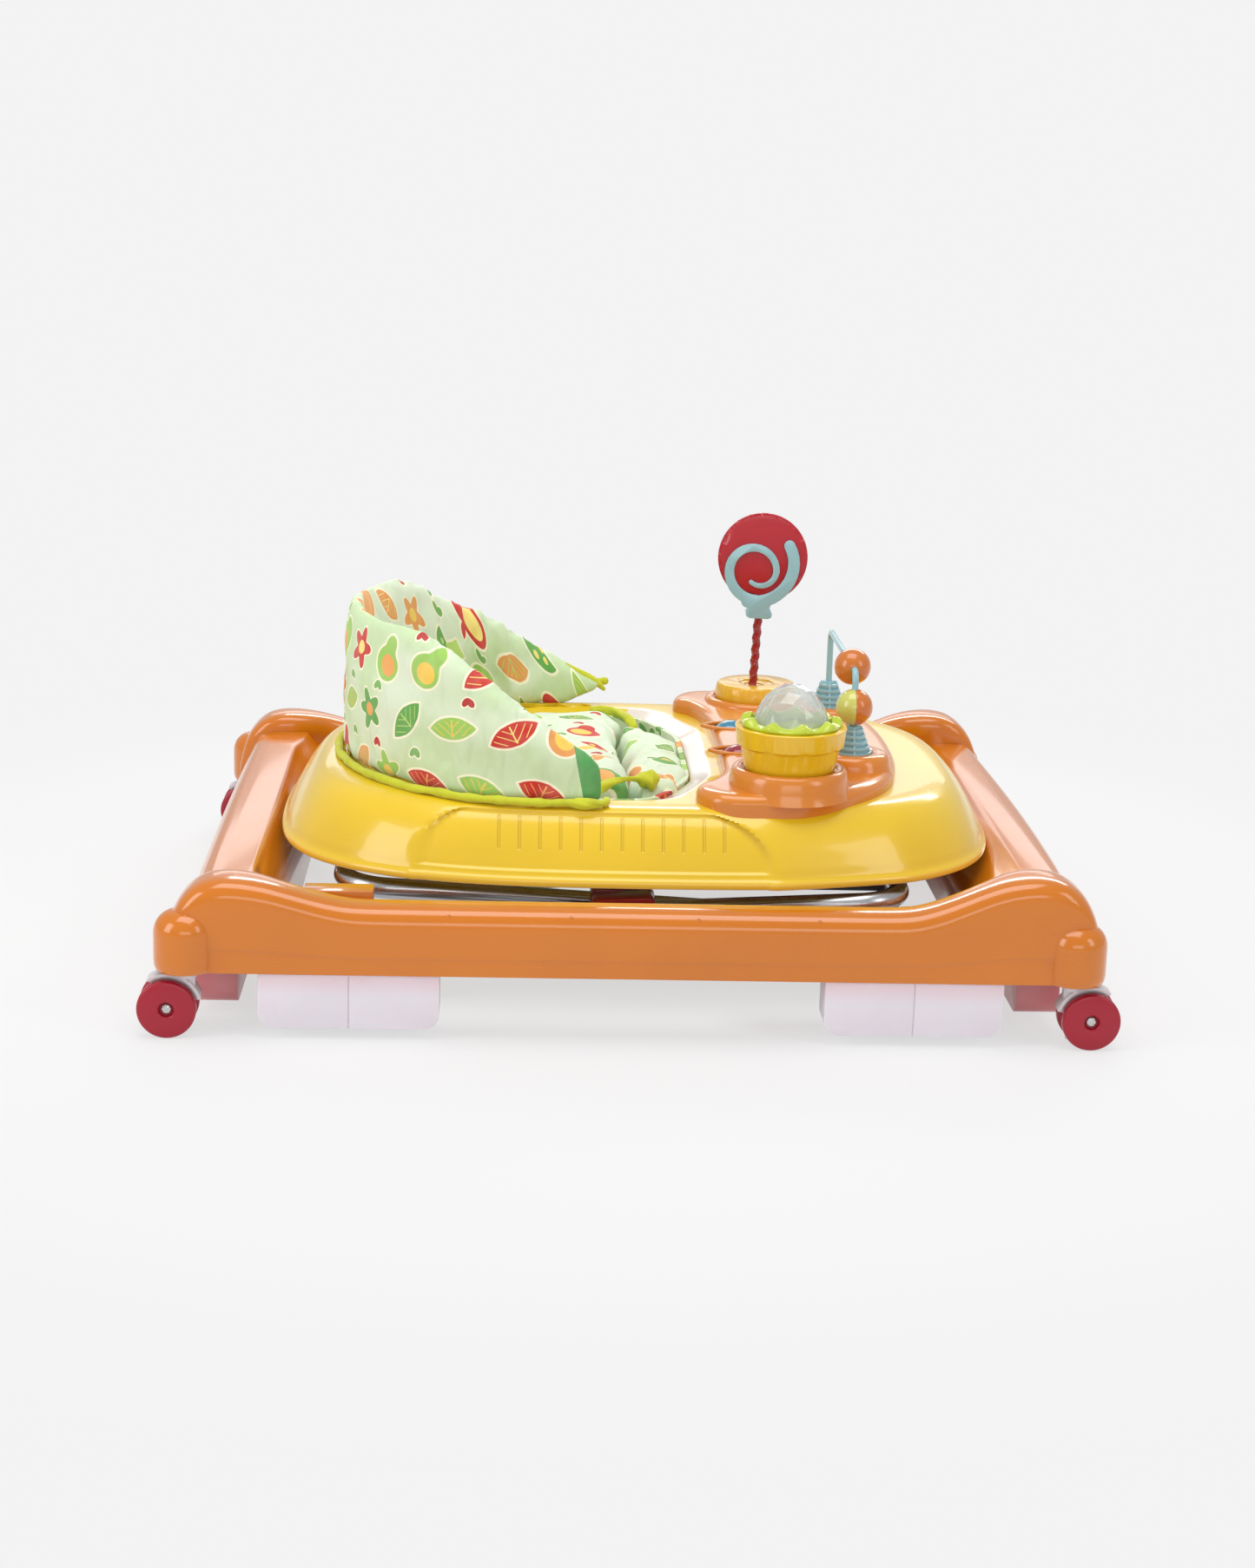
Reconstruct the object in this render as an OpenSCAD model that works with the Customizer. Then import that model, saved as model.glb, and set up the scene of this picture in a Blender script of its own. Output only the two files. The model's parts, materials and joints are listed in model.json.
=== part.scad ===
// Baby walker: a wheeled base ring, a scissor frame and a toy tray with a padded seat.
// Stored folded flat. X+ is forward (toys), Y- is the rider's right side, Z+ is up.
// The origin is at the bottom centre, on the floor.

/* [Base ring] */
// Room from the tray's ends out to the caster stems
end_room = 37; // [30:1:50]
// Room from the tray's sides out to the side rails
side_room = 37; // [30:1:50]
// Distance from a side rail's outer face in to the caster stems
stem_in = 14; // [10:1:18]
// Gap between the wheels' tops and the rails' lower edge
wheel_gap = 6; // [4:1:12]
// Height of the side rails, lower edge to top
side_rail_h = 49; // [36:1:60]
// Height of the end rails, lower edge to crown
end_rail_h = 52; // [36:1:60]
// Width of a side rail, inner face to outer face
side_rail_w = 38; // [32:1:44]
// Rise of the front corner humps above the side rails' top
front_hump = 28; // [10:1:36]
// Rise of the rear corner humps above the side rails' top
rear_hump = 18; // [8:1:30]
// Distance from the caster stems in to the humps' highest points
hump_in = 31; // [20:1:40]
// Distance from the caster stems in to the front rail's inner foot
front_foot_in = 69; // [60:1:80]
// Distance from the caster stems in to the rear rail's inner foot
rear_foot_in = 67; // [60:1:80]
// Wall thickness of the rails
rail_wall = 3; // [2:0.5:4]
// Radius of the corner pods over the casters
pod_r = 22; // [18:1:24]

/* [Friction stops] */
// Length of a friction stop
stop_len = 128; // [90:1:140]
// Width of a friction stop
stop_w = 32; // [24:1:34]
// Gap between a friction stop and the floor
stop_gap = 8; // [6:1:14]
// Wall thickness of a friction stop
stop_wall = 3; // [2:0.5:5]

/* [Casters] */
// Radius of a caster wheel
wheel_r = 21; // [18:0.5:23]
// Width of one wheel of a twin caster
wheel_w = 10; // [7:0.5:12]
// Distance from the swivel axis back to the wheel's axle
trail = 12; // [8:1:14]
// Thickness of the caster's centre web
web_t = 9; // [6:0.5:12]
// Radius of the wheel axle
axle_r = 2.5; // [2:0.25:3.5]
// Radius of the caster's swivel stem
stem_r = 4; // [3:0.25:6]

/* [Scissor frame] */
// Distance between the rear pivot and the front slide, folded
frame_span = 417; // [400:1:460]
// Forward offset of the centre hinge from the middle of the base
hinge_x = -4.5; // [-10:0.5:10]
// Height of the centre hinge above the rails' lower edge, folded
hinge_up = 22; // [18:0.5:28]
// Slope of the folded arms, in degrees
fold_angle = 3; // [2:0.25:3.5]
// Turn of the outer arms from folded to the highest setting, in degrees
lift_angle = 40; // [20:1:42]
// Outer radius of the frame tube
tube_r = 8; // [6:0.5:9]
// Wall thickness of the frame tube
tube_wall = 1.5; // [1:0.25:2.5]
// Distance from the tray's side in to the outer frame's tube
outer_in = 22; // [19:1:29]
// Distance between the two frames' tubes, side by side
arm_pitch = 22; // [21:1:29]
// Bend radius of the frame tube
bend_r = 34; // [22:1:40]
// Radius of the frame's pivot pins
pin_r = 4; // [3:0.25:5]
// Radius of the cross rod that slides in the base tracks
rod_r = 5; // [4:0.25:6]

/* [Tray] */
// Length of the tray over its lip
tray_len = 560; // [500:1:580]
// Width of the tray over its lip
tray_w = 450; // [430:1:460]
// Forward offset of the tray's middle
tray_x = 10; // [0:1:16]
// Height of the tray's lip above the rails' lower edge, folded
tray_up = 45; // [44:1:52]
// Height of the tray, lip to top
tray_h = 53; // [44:1:64]
// Wall thickness of the tray
tray_wall = 3; // [2:0.5:4]
// Distance from the tray's side in to the seat opening
seat_in = 75; // [67:1:95]
// Front edge of the seat opening
seat_front = 51; // [40:1:58]
// Width of the bevel round the seat opening
bevel_w = 15; // [8:1:18]
// Depth of the recessed grip panel on each side of the tray
panel_depth = 4; // [2:0.5:6]

/* [Toys] */
// Forward position of the cup and the lollipop
toy_x = 120; // [112:1:128]
// Distance from the tray's side in to the middle of the cup and the lollipop
toy_in = 75; // [71:1:85]
// Rim radius of the cup
cup_r = 42; // [34:0.5:43]
// Height of the cup
cup_h = 33; // [26:1:40]
// Radius of the clear dome
dome_r = 30; // [24:0.5:30]
// Radius of the lollipop
lolly_r = 38; // [30:1:42]
// Height of the lollipop's centre above its ball joint
lolly_h = 114; // [90:1:124]
// Thickness of the lollipop
lolly_t = 9; // [6:0.5:12]
// Forward lean of the lollipop's stem, in degrees
lolly_lean = 2.3; // [0:0.1:5]
// Sideways distance from the middle of the cup in to the leg of the bead arch
arch_in = 63; // [58:1:70]
// Forward position of the bead arch
arch_x = 175; // [170:1:182]
// Height of the bead arch above its feet
arch_h = 42; // [40:1:52]
// Radius of the bead arch's bar
bar_r = 2.5; // [2:0.25:3]
// Radius of the two balls on the arch
ball_r = 14.2; // [12:0.2:14.4]
// Travel of the push buttons
button_travel = 4; // [2:0.5:5]

/* [Seat] */
// Distance from the tray's side in to the middle of the backrest's wing
wing_in = 48; // [46:1:60]
// Height of the backrest above the tray
back_h = 128; // [100:1:150]
// Thickness of the padded backrest
pad_t = 22; // [16:1:24]
// Depth of the seat bucket below the tray's top
bucket_h = 96; // [70:1:98]
// Thickness of the padded bucket
bucket_t = 4; // [3:0.5:6]
// Radius of the leg holes
leg_r = 36; // [28:1:40]

/* [Fits] */
// Radial clearance of a running fit
run_gap = 0.05; // [0.02:0.01:0.1]
// Gap between pieces that slide or pass each other
slide_gap = 0.3; // [0.2:0.05:0.5]
// Gap between pieces that are fixed together
seam_gap = 0.1; // [0.05:0.05:0.2]

/* [Hidden] */
$fn = 48;
// Overshoot of a cut past the face it opens
cut = 1;

corners = [["front_right", 1, -1], ["front_left", 1, 1], ["rear_right", -1, -1], ["rear_left", -1, 1]];

// Base ring: it stands round the folded tray
tray_a = tray_len / 2;
tray_b = tray_w / 2;
rail_z = 2 * wheel_r + wheel_gap;
rail_top = rail_z + side_rail_h;
rail_in = tray_b + side_room;
rail_out = rail_in + side_rail_w;
stem_x = tray_a + end_room;
stem_y = rail_out - stem_in;
hump_x = stem_x - hump_in;
front_foot = stem_x - front_foot_in;
rear_foot = stem_x - rear_foot_in;
front_end = hump_x + 51;
rear_end = hump_x + 46;
hump_start = hump_x - 96;
front_out = stem_x + pod_r - 1;
rear_out = stem_x + 5;
pod_top = rail_top - 6;
boss_r = stem_r + 5;

// Scissor frame: A rear pivot, B front slide under the tray, C front slide in the base, D tray pivot
hinge_z = rail_z + hinge_up;
outer_half = tray_b - outer_in;
inner_half = outer_half - arm_pitch;
rise = frame_span / 2 * tan(fold_angle);
arm_len = frame_span / cos(fold_angle);
ax = hinge_x - frame_span / 2;
bx = hinge_x + frame_span / 2;
low_z = hinge_z - rise;
high_z = hinge_z + rise;
slide_run = arm_len * (cos(fold_angle) - cos(fold_angle + lift_angle));
block_l = 48;
block_h = 2 * tube_r + 10;
arm_mid = (outer_half + inner_half) / 2;

// Tray
tray_z = rail_z + tray_up;
tray_top = tray_z + tray_h;
seat_half = tray_b - seat_in;
toy_y = tray_b - toy_in;
arch_half = toy_y - arch_in;
seat_back_x = -205;
toy_base = tray_top + 25;
lolly_base = tray_top + 16;
console_z = tray_top + 12;

function smooth(t) = let (s = min(1, max(0, t))) s * s * (3 - 2 * s);
function power(v, p) = v <= 0 ? 0 : pow(v, p);

// Closed solid through rings of points, each ring counter-clockwise seen from the last one.
// A hub is a point that sees the whole of a dented outline, and its ends are fanned round it.
module loft(rings, hub) {
  n = len(rings[0]);
  m = len(rings);
  ends = hub == undef ? [] : [for (k = [0, m - 1]) [hub[0], hub[1], rings[k][0][2]]];
  points = concat([for (ring = rings) for (p = ring) p], ends);
  sides = [
    for (i = [0 : m - 2]) for (j = [0 : n - 1])
      let (k = (j + 1) % n, a = i * n + j, b = i * n + k, c = (i + 1) * n + k, d = (i + 1) * n + j)
        each [[a, d, c], [a, c, b]]
  ];
  last = (m - 1) * n;
  caps = hub == undef ? [[for (j = [0 : n - 1]) j], [for (j = [n - 1 : -1 : 0]) last + j]] :
    [for (j = [0 : n - 1]) let (k = (j + 1) % n) each [[j, k, m * n], [last + k, last + j, m * n + 1]]];
  polyhedron(points, concat(sides, caps), convexity = 8);
}

// A copy on each side of the walker
module both_sides() {
  children();
  mirror([0, 1, 0]) children();
}

// ---------------------------------------------------------------- side rails

hump_angles = [0, 20, 38, 54, 66, 75, 82];
side_steps = concat(
  [for (a = [len(hump_angles) - 1 : -1 : 0]) -hump_x - (rear_end - hump_x) * power(sin(hump_angles[a]), 0.8)],
  [for (k = [5 : -1 : 0]) -hump_start - (hump_x - hump_start) * k / 6 * 0.97],
  [for (k = [0 : 5]) hump_start + (hump_x - hump_start) * k / 6 * 0.97],
  [for (a = hump_angles) hump_x + (front_end - hump_x) * power(sin(a), 0.8)]
);

// Position past the hump's highest point, as a share of the way to the rail's end
function past_hump(x) = (abs(x) - hump_x) / ((x > 0 ? front_end : rear_end) - hump_x);
function side_top(x) =
  let (d = abs(x), h = x > 0 ? front_hump : rear_hump, t = past_hump(x))
  t > 0 ? rail_z + (side_rail_h + h) * power(1 - power(t, 2.5), 0.4)
        : rail_top + h * smooth((d - hump_start) / (hump_x - hump_start));
function side_in(x) = rail_in - 12 * smooth((abs(x) - hump_x + 40) / 34);
function end_round(x) = 9 * power(past_hump(x), 3);

function side_ring(x, w) =
  let (top = side_top(x) - w, yi = side_in(x) + w + end_round(x), yo = rail_out - w - end_round(x),
       bottom = w > 0 ? rail_z - cut : rail_z, h = top - rail_z,
       ri = min(9, h * 0.4), ro = min(13, h * 0.55), crease = rail_z + h * 0.26)
  concat(
    [[x, -yo + 1.6, bottom], [x, -yi, bottom]],
    [for (a = [0, 30, 60, 90]) [x, -yi - ri + ri * cos(a), top - ri + ri * sin(a)]],
    [for (a = [90, 64, 38, 14]) [x, -yo + ro - ro * cos(a), top - ro * 0.86 + ro * 0.86 * sin(a) - 1.5 * cos(a)]],
    [[x, -yo, crease + 1.5], [x, -yo + 1.4, crease]]
  );

module side_rail_outer() loft([for (x = side_steps) side_ring(x, 0)]);

module side_rail_void() {
  difference() {
    loft([for (x = side_steps) if (past_hump(x) < 0.85) side_ring(x, rail_wall)]);
    for (sx = [-1, 1], x = [45, side_stop_x - stop_len / 2 - 6, side_stop_x + stop_len / 2 + 6])
      translate([sx * x - 1.2, -rail_out, rail_z]) cube([2.4, side_rail_w + 12, side_rail_h]);
  }
}

module pod(sx) {
  translate([sx * stem_x, -stem_y, rail_z])
    rotate_extrude() polygon(concat([[0, 0], [pod_r - 1.5, 0], [pod_r, 6]],
      [for (a = [0 : 15 : 90]) [pod_r * cos(a), pod_top - rail_z - 16 + 16 * sin(a)]]));
}

module pod_void(sx) {
  translate([sx * stem_x, -stem_y, rail_z - cut])
    rotate_extrude() polygon(concat([[boss_r, 0], [pod_r - rail_wall, 0]],
      [for (a = [0 : 15 : 60]) [(pod_r - rail_wall) * cos(a), pod_top - rail_z - 18 + 15 * sin(a)]],
      [[boss_r, pod_top - rail_z - 4]]));
}

module right_side_rail() {
  color([0.84, 0.45, 0.13])
    difference() {
      union() {
        difference() {
          side_rail_outer();
          side_rail_void();
          for (sx = [-1, 1]) translate([sx * stem_x, -stem_y, rail_z - cut]) cylinder(h = 30, r = pod_r - 0.5);
        }
        for (sx = [-1, 1]) difference() {
          pod(sx);
          pod_void(sx);
        }
      }
      for (sx = [-1, 1]) translate([sx * stem_x, -stem_y, rail_z - cut])
        cylinder(h = pod_top - rail_z - 5, r = stem_r + run_gap);
    }
}

module left_side_rail() mirror([0, 1, 0]) right_side_rail();

// ---------------------------------------------------------------- end rails

rail_reach = rail_in + 12;

// Arched section: inner foot, inner and outer edge of the crown, outer foot
// The inner slope stays low under the tray's lip, then steps up to the crown
end_slope = [[0, 0], [0.1, 0.25], [0.25, 0.47], [0.45, 0.64], [0.65, 0.76], [0.84, 0.85], [0.94, 0.94]];
function end_ring(s, foot, band_in, band_out, out, w) =
  let (bend = 12 * smooth((abs(s) - rail_in + 66) / 54), top = rail_z + end_rail_h - w, bottom = w > 0 ? rail_z - cut : rail_z,
       f = foot - bend + w, o = out - w, bi = band_in - bend * 0.6, h = top - bottom)
  concat(
    [for (q = end_slope) [s, -f - (bi - f) * q[0], bottom + h * q[1]]],
    [[s, -bi, top - 0.6], [s, -(bi + band_out) / 2, top + 0.4], [s, -band_out, top - 0.6]],
    [for (a = [72 : -18 : 0]) [s, -band_out - (o - band_out) * power(cos(a), 0.75), bottom + h * power(sin(a), 0.85)]]
  );

function end_steps(reach) = [for (k = [-12 : 12]) reach * sin(k * 7.5)];

// The rail along X, its outer side towards Y-
module end_rail(foot, band_in, band_out, out, bow) {
  difference() {
    loft([for (s = end_steps(rail_reach)) end_ring(s, foot, band_in, band_out, out - bow * pow(s / rail_reach, 2), 0)]);
    difference() {
      loft([for (s = end_steps(side_in(hump_x) - rail_wall))
        end_ring(s, foot, band_in, band_out, out - bow * pow(s / rail_reach, 2), rail_wall)]);
      for (s = [-120, -40, 40, 120]) translate([s - 1.2, -out, rail_z]) cube([2.4, out - foot + 20, end_rail_h]);
    }
  }
}

module rail_ends_cut() {
  both_sides() translate([0, seam_gap, 0]) side_rail_outer();
}

module front_cross_rail() {
  color([0.84, 0.45, 0.13]) difference() {
    rotate([0, 0, 90]) end_rail(front_foot, front_foot + 50, front_foot + 72, front_out, 14);
    rail_ends_cut();
  }
}

module rear_cross_rail() {
  color([0.84, 0.45, 0.13]) difference() {
    rotate([0, 0, -90]) end_rail(rear_foot, rear_foot + 27, rear_foot + 52, rear_out + 3, 3);
    rail_ends_cut();
  }
}

// ---------------------------------------------------------------- friction stops

stop_h = rail_z - stop_gap;
stop_neck = 10;
side_stop_x = hump_x - 85;
side_stop_y = rail_out - side_rail_w / 2;
end_stop_x = stem_x - 17;
end_stop_y = rail_in - 81;

// Moulded pad with a neck that plugs into the rail; it lies along X, its top at the rail's lower edge
module friction_stop() {
  r = 11;
  difference() {
    union() {
      rotate([90, 0, 0]) linear_extrude(stop_w, center = true) difference() {
        translate([-stop_len / 2, -stop_h]) square([stop_len, stop_h - seam_gap]);
        for (sx = [-1, 1]) translate([sx * (stop_len / 2 - r), -stop_h + r]) difference() {
          translate([sx > 0 ? 0 : -r - cut, -r - cut]) square([r + cut, r + cut]);
          circle(r);
        }
      }
      translate([-stop_len / 2 + 8, -stop_w / 2 + 4, -2]) cube([stop_len - 16, stop_w - 8, stop_neck + 2]);
    }
    translate([-stop_len / 2 + 8 + stop_wall, -stop_w / 2 + 4 + stop_wall, -stop_h + 8])
      cube([stop_len - 16 - 2 * stop_wall, stop_w - 8 - 2 * stop_wall, stop_h + stop_neck]);
    for (sy = [-1, 1]) translate([-0.5, sy * stop_w / 2 - 0.8, -stop_h - cut]) cube([1, 1.6, stop_h]);
  }
}

module side_stop(sx, sy) color([0.87, 0.84, 0.87])
  translate([sx * side_stop_x, sy * side_stop_y, rail_z]) friction_stop();

module end_stop(sx, sy) color([0.74, 0.46, 0.46])
  translate([sx * end_stop_x, sy * end_stop_y, rail_z]) rotate([0, 0, 90]) friction_stop();

// ---------------------------------------------------------------- frame mounts on the base

bracket_front = ax + 27;
bracket_rear = ax - 22.5;
ledge_in = rail_in - 22;

module right_pivot_bracket() {
  len = bracket_front - bracket_rear;
  arm_face = outer_half + tube_r + slide_gap;
  color([0.84, 0.45, 0.13]) difference() {
    union() {
      translate([bracket_rear, -rail_in + seam_gap, rail_z + 2]) cube([len, rail_in - ledge_in - seam_gap, side_rail_h]);
      translate([ax - 17, -ledge_in, rail_z + 2]) cube([34, ledge_in - arm_face, 20]);
    }
    translate([bracket_rear + 4, -rail_in + 4, rail_z - cut]) cube([len - 8, rail_in - ledge_in - 8, side_rail_h - 1]);
    translate([ax, 0, low_z]) rotate([90, 0, 0]) cylinder(h = rail_in, r = pin_r);
  }
}

module left_pivot_bracket() mirror([0, 1, 0]) right_pivot_bracket();

module base_pivot_pins() {
  head_y = outer_half - tube_r - 2.5;
  color("silver") both_sides() translate([ax, 0, low_z]) rotate([90, 0, 0]) {
    translate([0, 0, head_y]) cylinder(h = rail_in - 6 - head_y, r = pin_r);
    translate([0, 0, head_y - 0.1]) cylinder(h = 2, r = pin_r + 2.5);
  }
}

roller_r = 8;
track_wall = 4;
track_in = rail_in - 24;
track_end = bx + roller_r + slide_gap + track_wall;
track_start = bx - slide_run - roller_r - 2 - track_wall;

// Straight slot with round ends, its end centres at x0 and x1
module slot(x0, x1, r, h) {
  linear_extrude(h) {
    translate([x0, -r]) square([x1 - x0, 2 * r]);
    translate([x0, 0]) circle(r);
    translate([x1, 0]) circle(r);
  }
}

module right_slide_track() {
  slot_r = roller_r + slide_gap;
  color([0.84, 0.45, 0.13]) difference() {
    translate([track_start, -rail_in + seam_gap, low_z - slot_r - track_wall])
      cube([track_end - track_start, rail_in - track_in - seam_gap, 2 * (slot_r + track_wall)]);
    translate([0, -track_in - 2.5, low_z]) rotate([90, 0, 0]) slot(bx - slide_run - 2, bx, slot_r, 16);
    translate([0, -track_in + cut, low_z]) rotate([90, 0, 0]) slot(bx - slide_run - 2, bx, rod_r + slide_gap, 16);
  }
}

module left_slide_track() mirror([0, 1, 0]) right_slide_track();

// ---------------------------------------------------------------- casters

hood_r = wheel_r + 1.2;
hub_r = 5.5;

// Caster body at the swivel axis, its wheel trailing towards X+
module caster() {
  color([0.93, 0.9, 0.92]) difference() {
    union() {
      cylinder(h = pod_top - 8, r = stem_r);
      translate([0, 0, 2 * wheel_r + slide_gap]) cylinder(h = rail_z - 2 * wheel_r - 2 * slide_gap, r = web_t / 2 + 4);
      translate([-web_t / 2 - 3, -web_t / 2 + 0.5, wheel_r + 4]) cube([web_t + 6, web_t - 1, wheel_r - 2]);
      translate([trail, 0, wheel_r]) rotate([90, 0, 0]) {
        cylinder(h = web_t, r = wheel_r - 4, center = true);
        rotate([0, 0, 55]) rotate_extrude(angle = 110) translate([hood_r, -web_t / 2 - 3]) square([2.4, web_t + 6]);
        rotate([0, 0, 55]) rotate_extrude(angle = 110) translate([wheel_r - 6, -web_t / 2]) square([8, web_t]);
      }
    }
    translate([-stem_r - cut, -stem_r - cut, -cut]) cube([2 * stem_r + 2 * cut, 2 * stem_r + 2 * cut, 6]);
    translate([trail, 0, wheel_r]) rotate([90, 0, 0]) cylinder(h = 4 * web_t, r = axle_r + run_gap, center = true);
  }
}

module twin_wheels() {
  color([0.66, 0.08, 0.2]) for (sy = [-1, 1])
    translate([trail, sy * (web_t / 2 + slide_gap), wheel_r]) rotate([-sy * 90, 0, 0]) rotate_extrude()
      polygon([[axle_r, 0], [wheel_r - 5, 0], [wheel_r - 3, 1], [wheel_r - 1, 1.6], [wheel_r, 3],
        [wheel_r, wheel_w - 2], [wheel_r - 0.7, wheel_w - 0.6], [wheel_r - 2.2, wheel_w], [hub_r + 1, wheel_w],
        [hub_r, wheel_w - 1], [hub_r - 0.6, wheel_w - 4], [axle_r, wheel_w - 4]]);
}

module wheel_axle() {
  half = web_t / 2 + slide_gap + wheel_w - 3.2;
  color("silver") translate([trail, 0, wheel_r]) rotate([90, 0, 0]) {
    cylinder(h = 2 * half, r = axle_r, center = true);
    for (m = [0, 1]) mirror([0, 0, m]) translate([0, 0, half - 0.8]) rotate_extrude()
      polygon([[0, 0], [axle_r + 1.6, 0], [axle_r + 1.4, 1], [axle_r, 1.9], [0, 2.3]]);
  }
}

module at_corner(c) translate([c[1] * stem_x, c[2] * stem_y, 0]) rotate([0, 0, c[1] > 0 ? 0 : 180]) children();

// ---------------------------------------------------------------- scissor frame

// U of tube in the XY plane: cross tube on the Y axis at X = 0, arms towards X+
module tube_u(half, reach, r) {
  both_sides() {
    translate([bend_r, -half, 0]) rotate([0, 90, 0]) cylinder(h = reach - bend_r, r = r);
    translate([bend_r, -half + bend_r, 0]) rotate([0, 0, 180]) rotate_extrude(angle = 90)
      translate([bend_r, 0]) circle(r);
  }
  translate([0, half - bend_r, 0]) rotate([90, 0, 0]) cylinder(h = 2 * (half - bend_r), r = r);
}

module frame_tube(half, reach, hole_at, hole_r, end_at, end_hole_r) {
  difference() {
    tube_u(half, reach, tube_r);
    tube_u(half, reach + cut, tube_r - tube_wall);
    both_sides() {
      translate([hole_at, -half + 2 * tube_r, 0]) rotate([90, 0, 0]) cylinder(h = 4 * tube_r, r = hole_r);
      translate([end_at, -half + 2 * tube_r, 0]) rotate([90, 0, 0]) cylinder(h = 4 * tube_r, r = end_hole_r);
    }
  }
}

module outer_place() translate([bx, 0, high_z]) rotate([0, 180 - fold_angle, 0]) children();
module inner_place() translate([ax, 0, high_z]) rotate([0, fold_angle, 0]) children();

module outer_frame_tube() color("silver") outer_place()
  frame_tube(outer_half, arm_len + 9, arm_len / 2, pin_r, arm_len, pin_r + run_gap);

module inner_frame_tube() color("silver") inner_place()
  frame_tube(inner_half, arm_len + 9, arm_len / 2, pin_r + run_gap, arm_len, rod_r);

// Block clamped on an arm at the centre hinge, from y_in to y_out
module hinge_block(arm_y, y_in, y_out, bore) {
  r = 6;
  difference() {
    rotate([90, 0, 0]) translate([0, 0, y_in]) linear_extrude(y_out - y_in) {
      square([block_l, block_h - 2 * r], center = true);
      square([block_l - 2 * r, block_h], center = true);
      for (sx = [-1, 1], sz = [-1, 1]) translate([sx * (block_l / 2 - r), sz * (block_h / 2 - r)]) circle(r);
    }
    translate([-block_l, -arm_y, 0]) rotate([0, 90, 0]) cylinder(h = 2 * block_l, r = tube_r + run_gap);
    rotate([90, 0, 0]) cylinder(h = 2 * y_out, r = bore);
  }
}

module outer_hinge_blocks() color([0.6, 0.11, 0.13]) both_sides()
  translate([hinge_x, 0, hinge_z]) rotate([0, -fold_angle, 0])
    hinge_block(outer_half, arm_mid + slide_gap / 2, outer_half + tube_r + 3, pin_r);

module inner_hinge_blocks() color([0.6, 0.11, 0.13]) both_sides()
  translate([hinge_x, 0, hinge_z]) rotate([0, fold_angle, 0])
    hinge_block(inner_half, inner_half - tube_r - 3, arm_mid - slide_gap / 2, pin_r + run_gap);

module hinge_rivets() {
  y_in = inner_half - tube_r - 3 - slide_gap;
  y_out = outer_half + tube_r + 3;
  color("silver") both_sides() translate([hinge_x, 0, hinge_z]) rotate([90, 0, 0]) {
    translate([0, 0, y_in]) cylinder(h = y_out - y_in, r = pin_r);
    translate([0, 0, y_in - 2]) cylinder(h = 2, r = pin_r + 3);
    translate([0, 0, y_out]) cylinder(h = 2, r = pin_r + 3);
  }
}

module slide_rod() {
  half = rail_in - 7;
  color("silver") translate([bx, half, low_z]) rotate([90, 0, 0]) cylinder(h = 2 * half, r = rod_r);
}

module track_rollers() color([0.2, 0.2, 0.22]) both_sides()
  translate([bx, -track_in - 2.5 - slide_gap, low_z]) rotate([90, 0, 0]) difference() {
    cylinder(h = 12, r = roller_r);
    translate([0, 0, -cut]) cylinder(h = 20, r = rod_r + run_gap);
  }

// ---------------------------------------------------------------- tray

panel_front = 100;
panel_rear = -160;
tray_arc = [0, 9, 18, 26, 34, 42, 50, 58];
tray_xs = concat(
  [for (t = tray_arc) power(cos(t), 2 / 3)],
  [for (x = [panel_front + 30, panel_front + 9, panel_front, panel_front - 9, 20, -70]) (x - tray_x) / tray_a],
  [for (x = [panel_rear + 9, panel_rear, panel_rear - 9]) (x - tray_x) / tray_a],
  [for (k = [len(tray_arc) - 1 : -1 : 0]) -power(cos(tray_arc[k]), 2 / 3)]
);

function panel_in(x) = panel_depth * smooth((panel_front + 9 - x) / 18) * smooth((x - panel_rear + 9) / 18);
function tray_y(f, b, x) = b * power(1 - power(abs(f), 3), 1 / 3) - (abs(f) > 0.99 ? 0 : panel_in(x));
function tray_ring(z, inset, panel = 1) =
  let (a = tray_a - inset, b = tray_b - inset, n = len(tray_xs))
  concat(
    [for (i = [0 : n - 1]) let (x = tray_x + a * tray_xs[i]) [x, tray_y(tray_xs[i], b, x) + panel_in(x) * (1 - panel), z]],
    [for (i = [n - 2 : -1 : 1]) let (x = tray_x + a * tray_xs[i]) [x, -tray_y(tray_xs[i], b, x) - panel_in(x) * (1 - panel), z]]
  );

// Lip, slope and rounded shoulder: height as a share of the tray's height, then inset
tray_side = [[0, 0.8], [0.03, 0], [0.09, 0], [0.125, 2.5], [0.19, 4.5], [0.5, 12.5], [0.76, 21], [0.9, 28], [0.975, 34], [1, 41]];

module tray_outer(grow = 0) {
  loft([for (s = tray_side) tray_ring(tray_z + (tray_h + grow) * s[0], s[1] - grow, s[0] > 0.95 ? 0.3 : 1)]);
}

module tray_void() {
  h = tray_h - tray_wall;
  loft([for (s = [[-0.04, 0], [0.19, 4], [0.5, 12], [0.76, 21.5], [0.93, 30], [1, 37]])
    tray_ring(tray_z + h * s[0], s[1] + tray_wall)]);
}

// Seat opening grown by g: chamfered front corners and a round back
function seat_ring(g, z) =
  let (r = seat_half + g, f = seat_front + g, cx = seat_back_x + seat_half,
       side = max(cx + 2, seat_front - 44 + min(g, 0) * 0.9))
  concat(
    [[f, -80 - g * 0.4, z], [f, 80 + g * 0.4, z], [seat_front - 29 + g * 0.8, r - 8, z], [side, r, z]],
    [for (a = [90 : 9 : 270]) [cx + r * cos(a), r * sin(a), z]],
    [[side, -r, z], [seat_front - 29 + g * 0.8, -r + 8, z]]
  );

module seat_hole(z0, z1) loft([seat_ring(0, z0), seat_ring(0, z1)]);

saddle_y = 48;
saddle_w = 26;
saddle_l = 30;
guide_y = 120;
guide_t = 6;
collar_depth = 20;
collar_t = 3.5;
bevel_h = 6.5;

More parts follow.
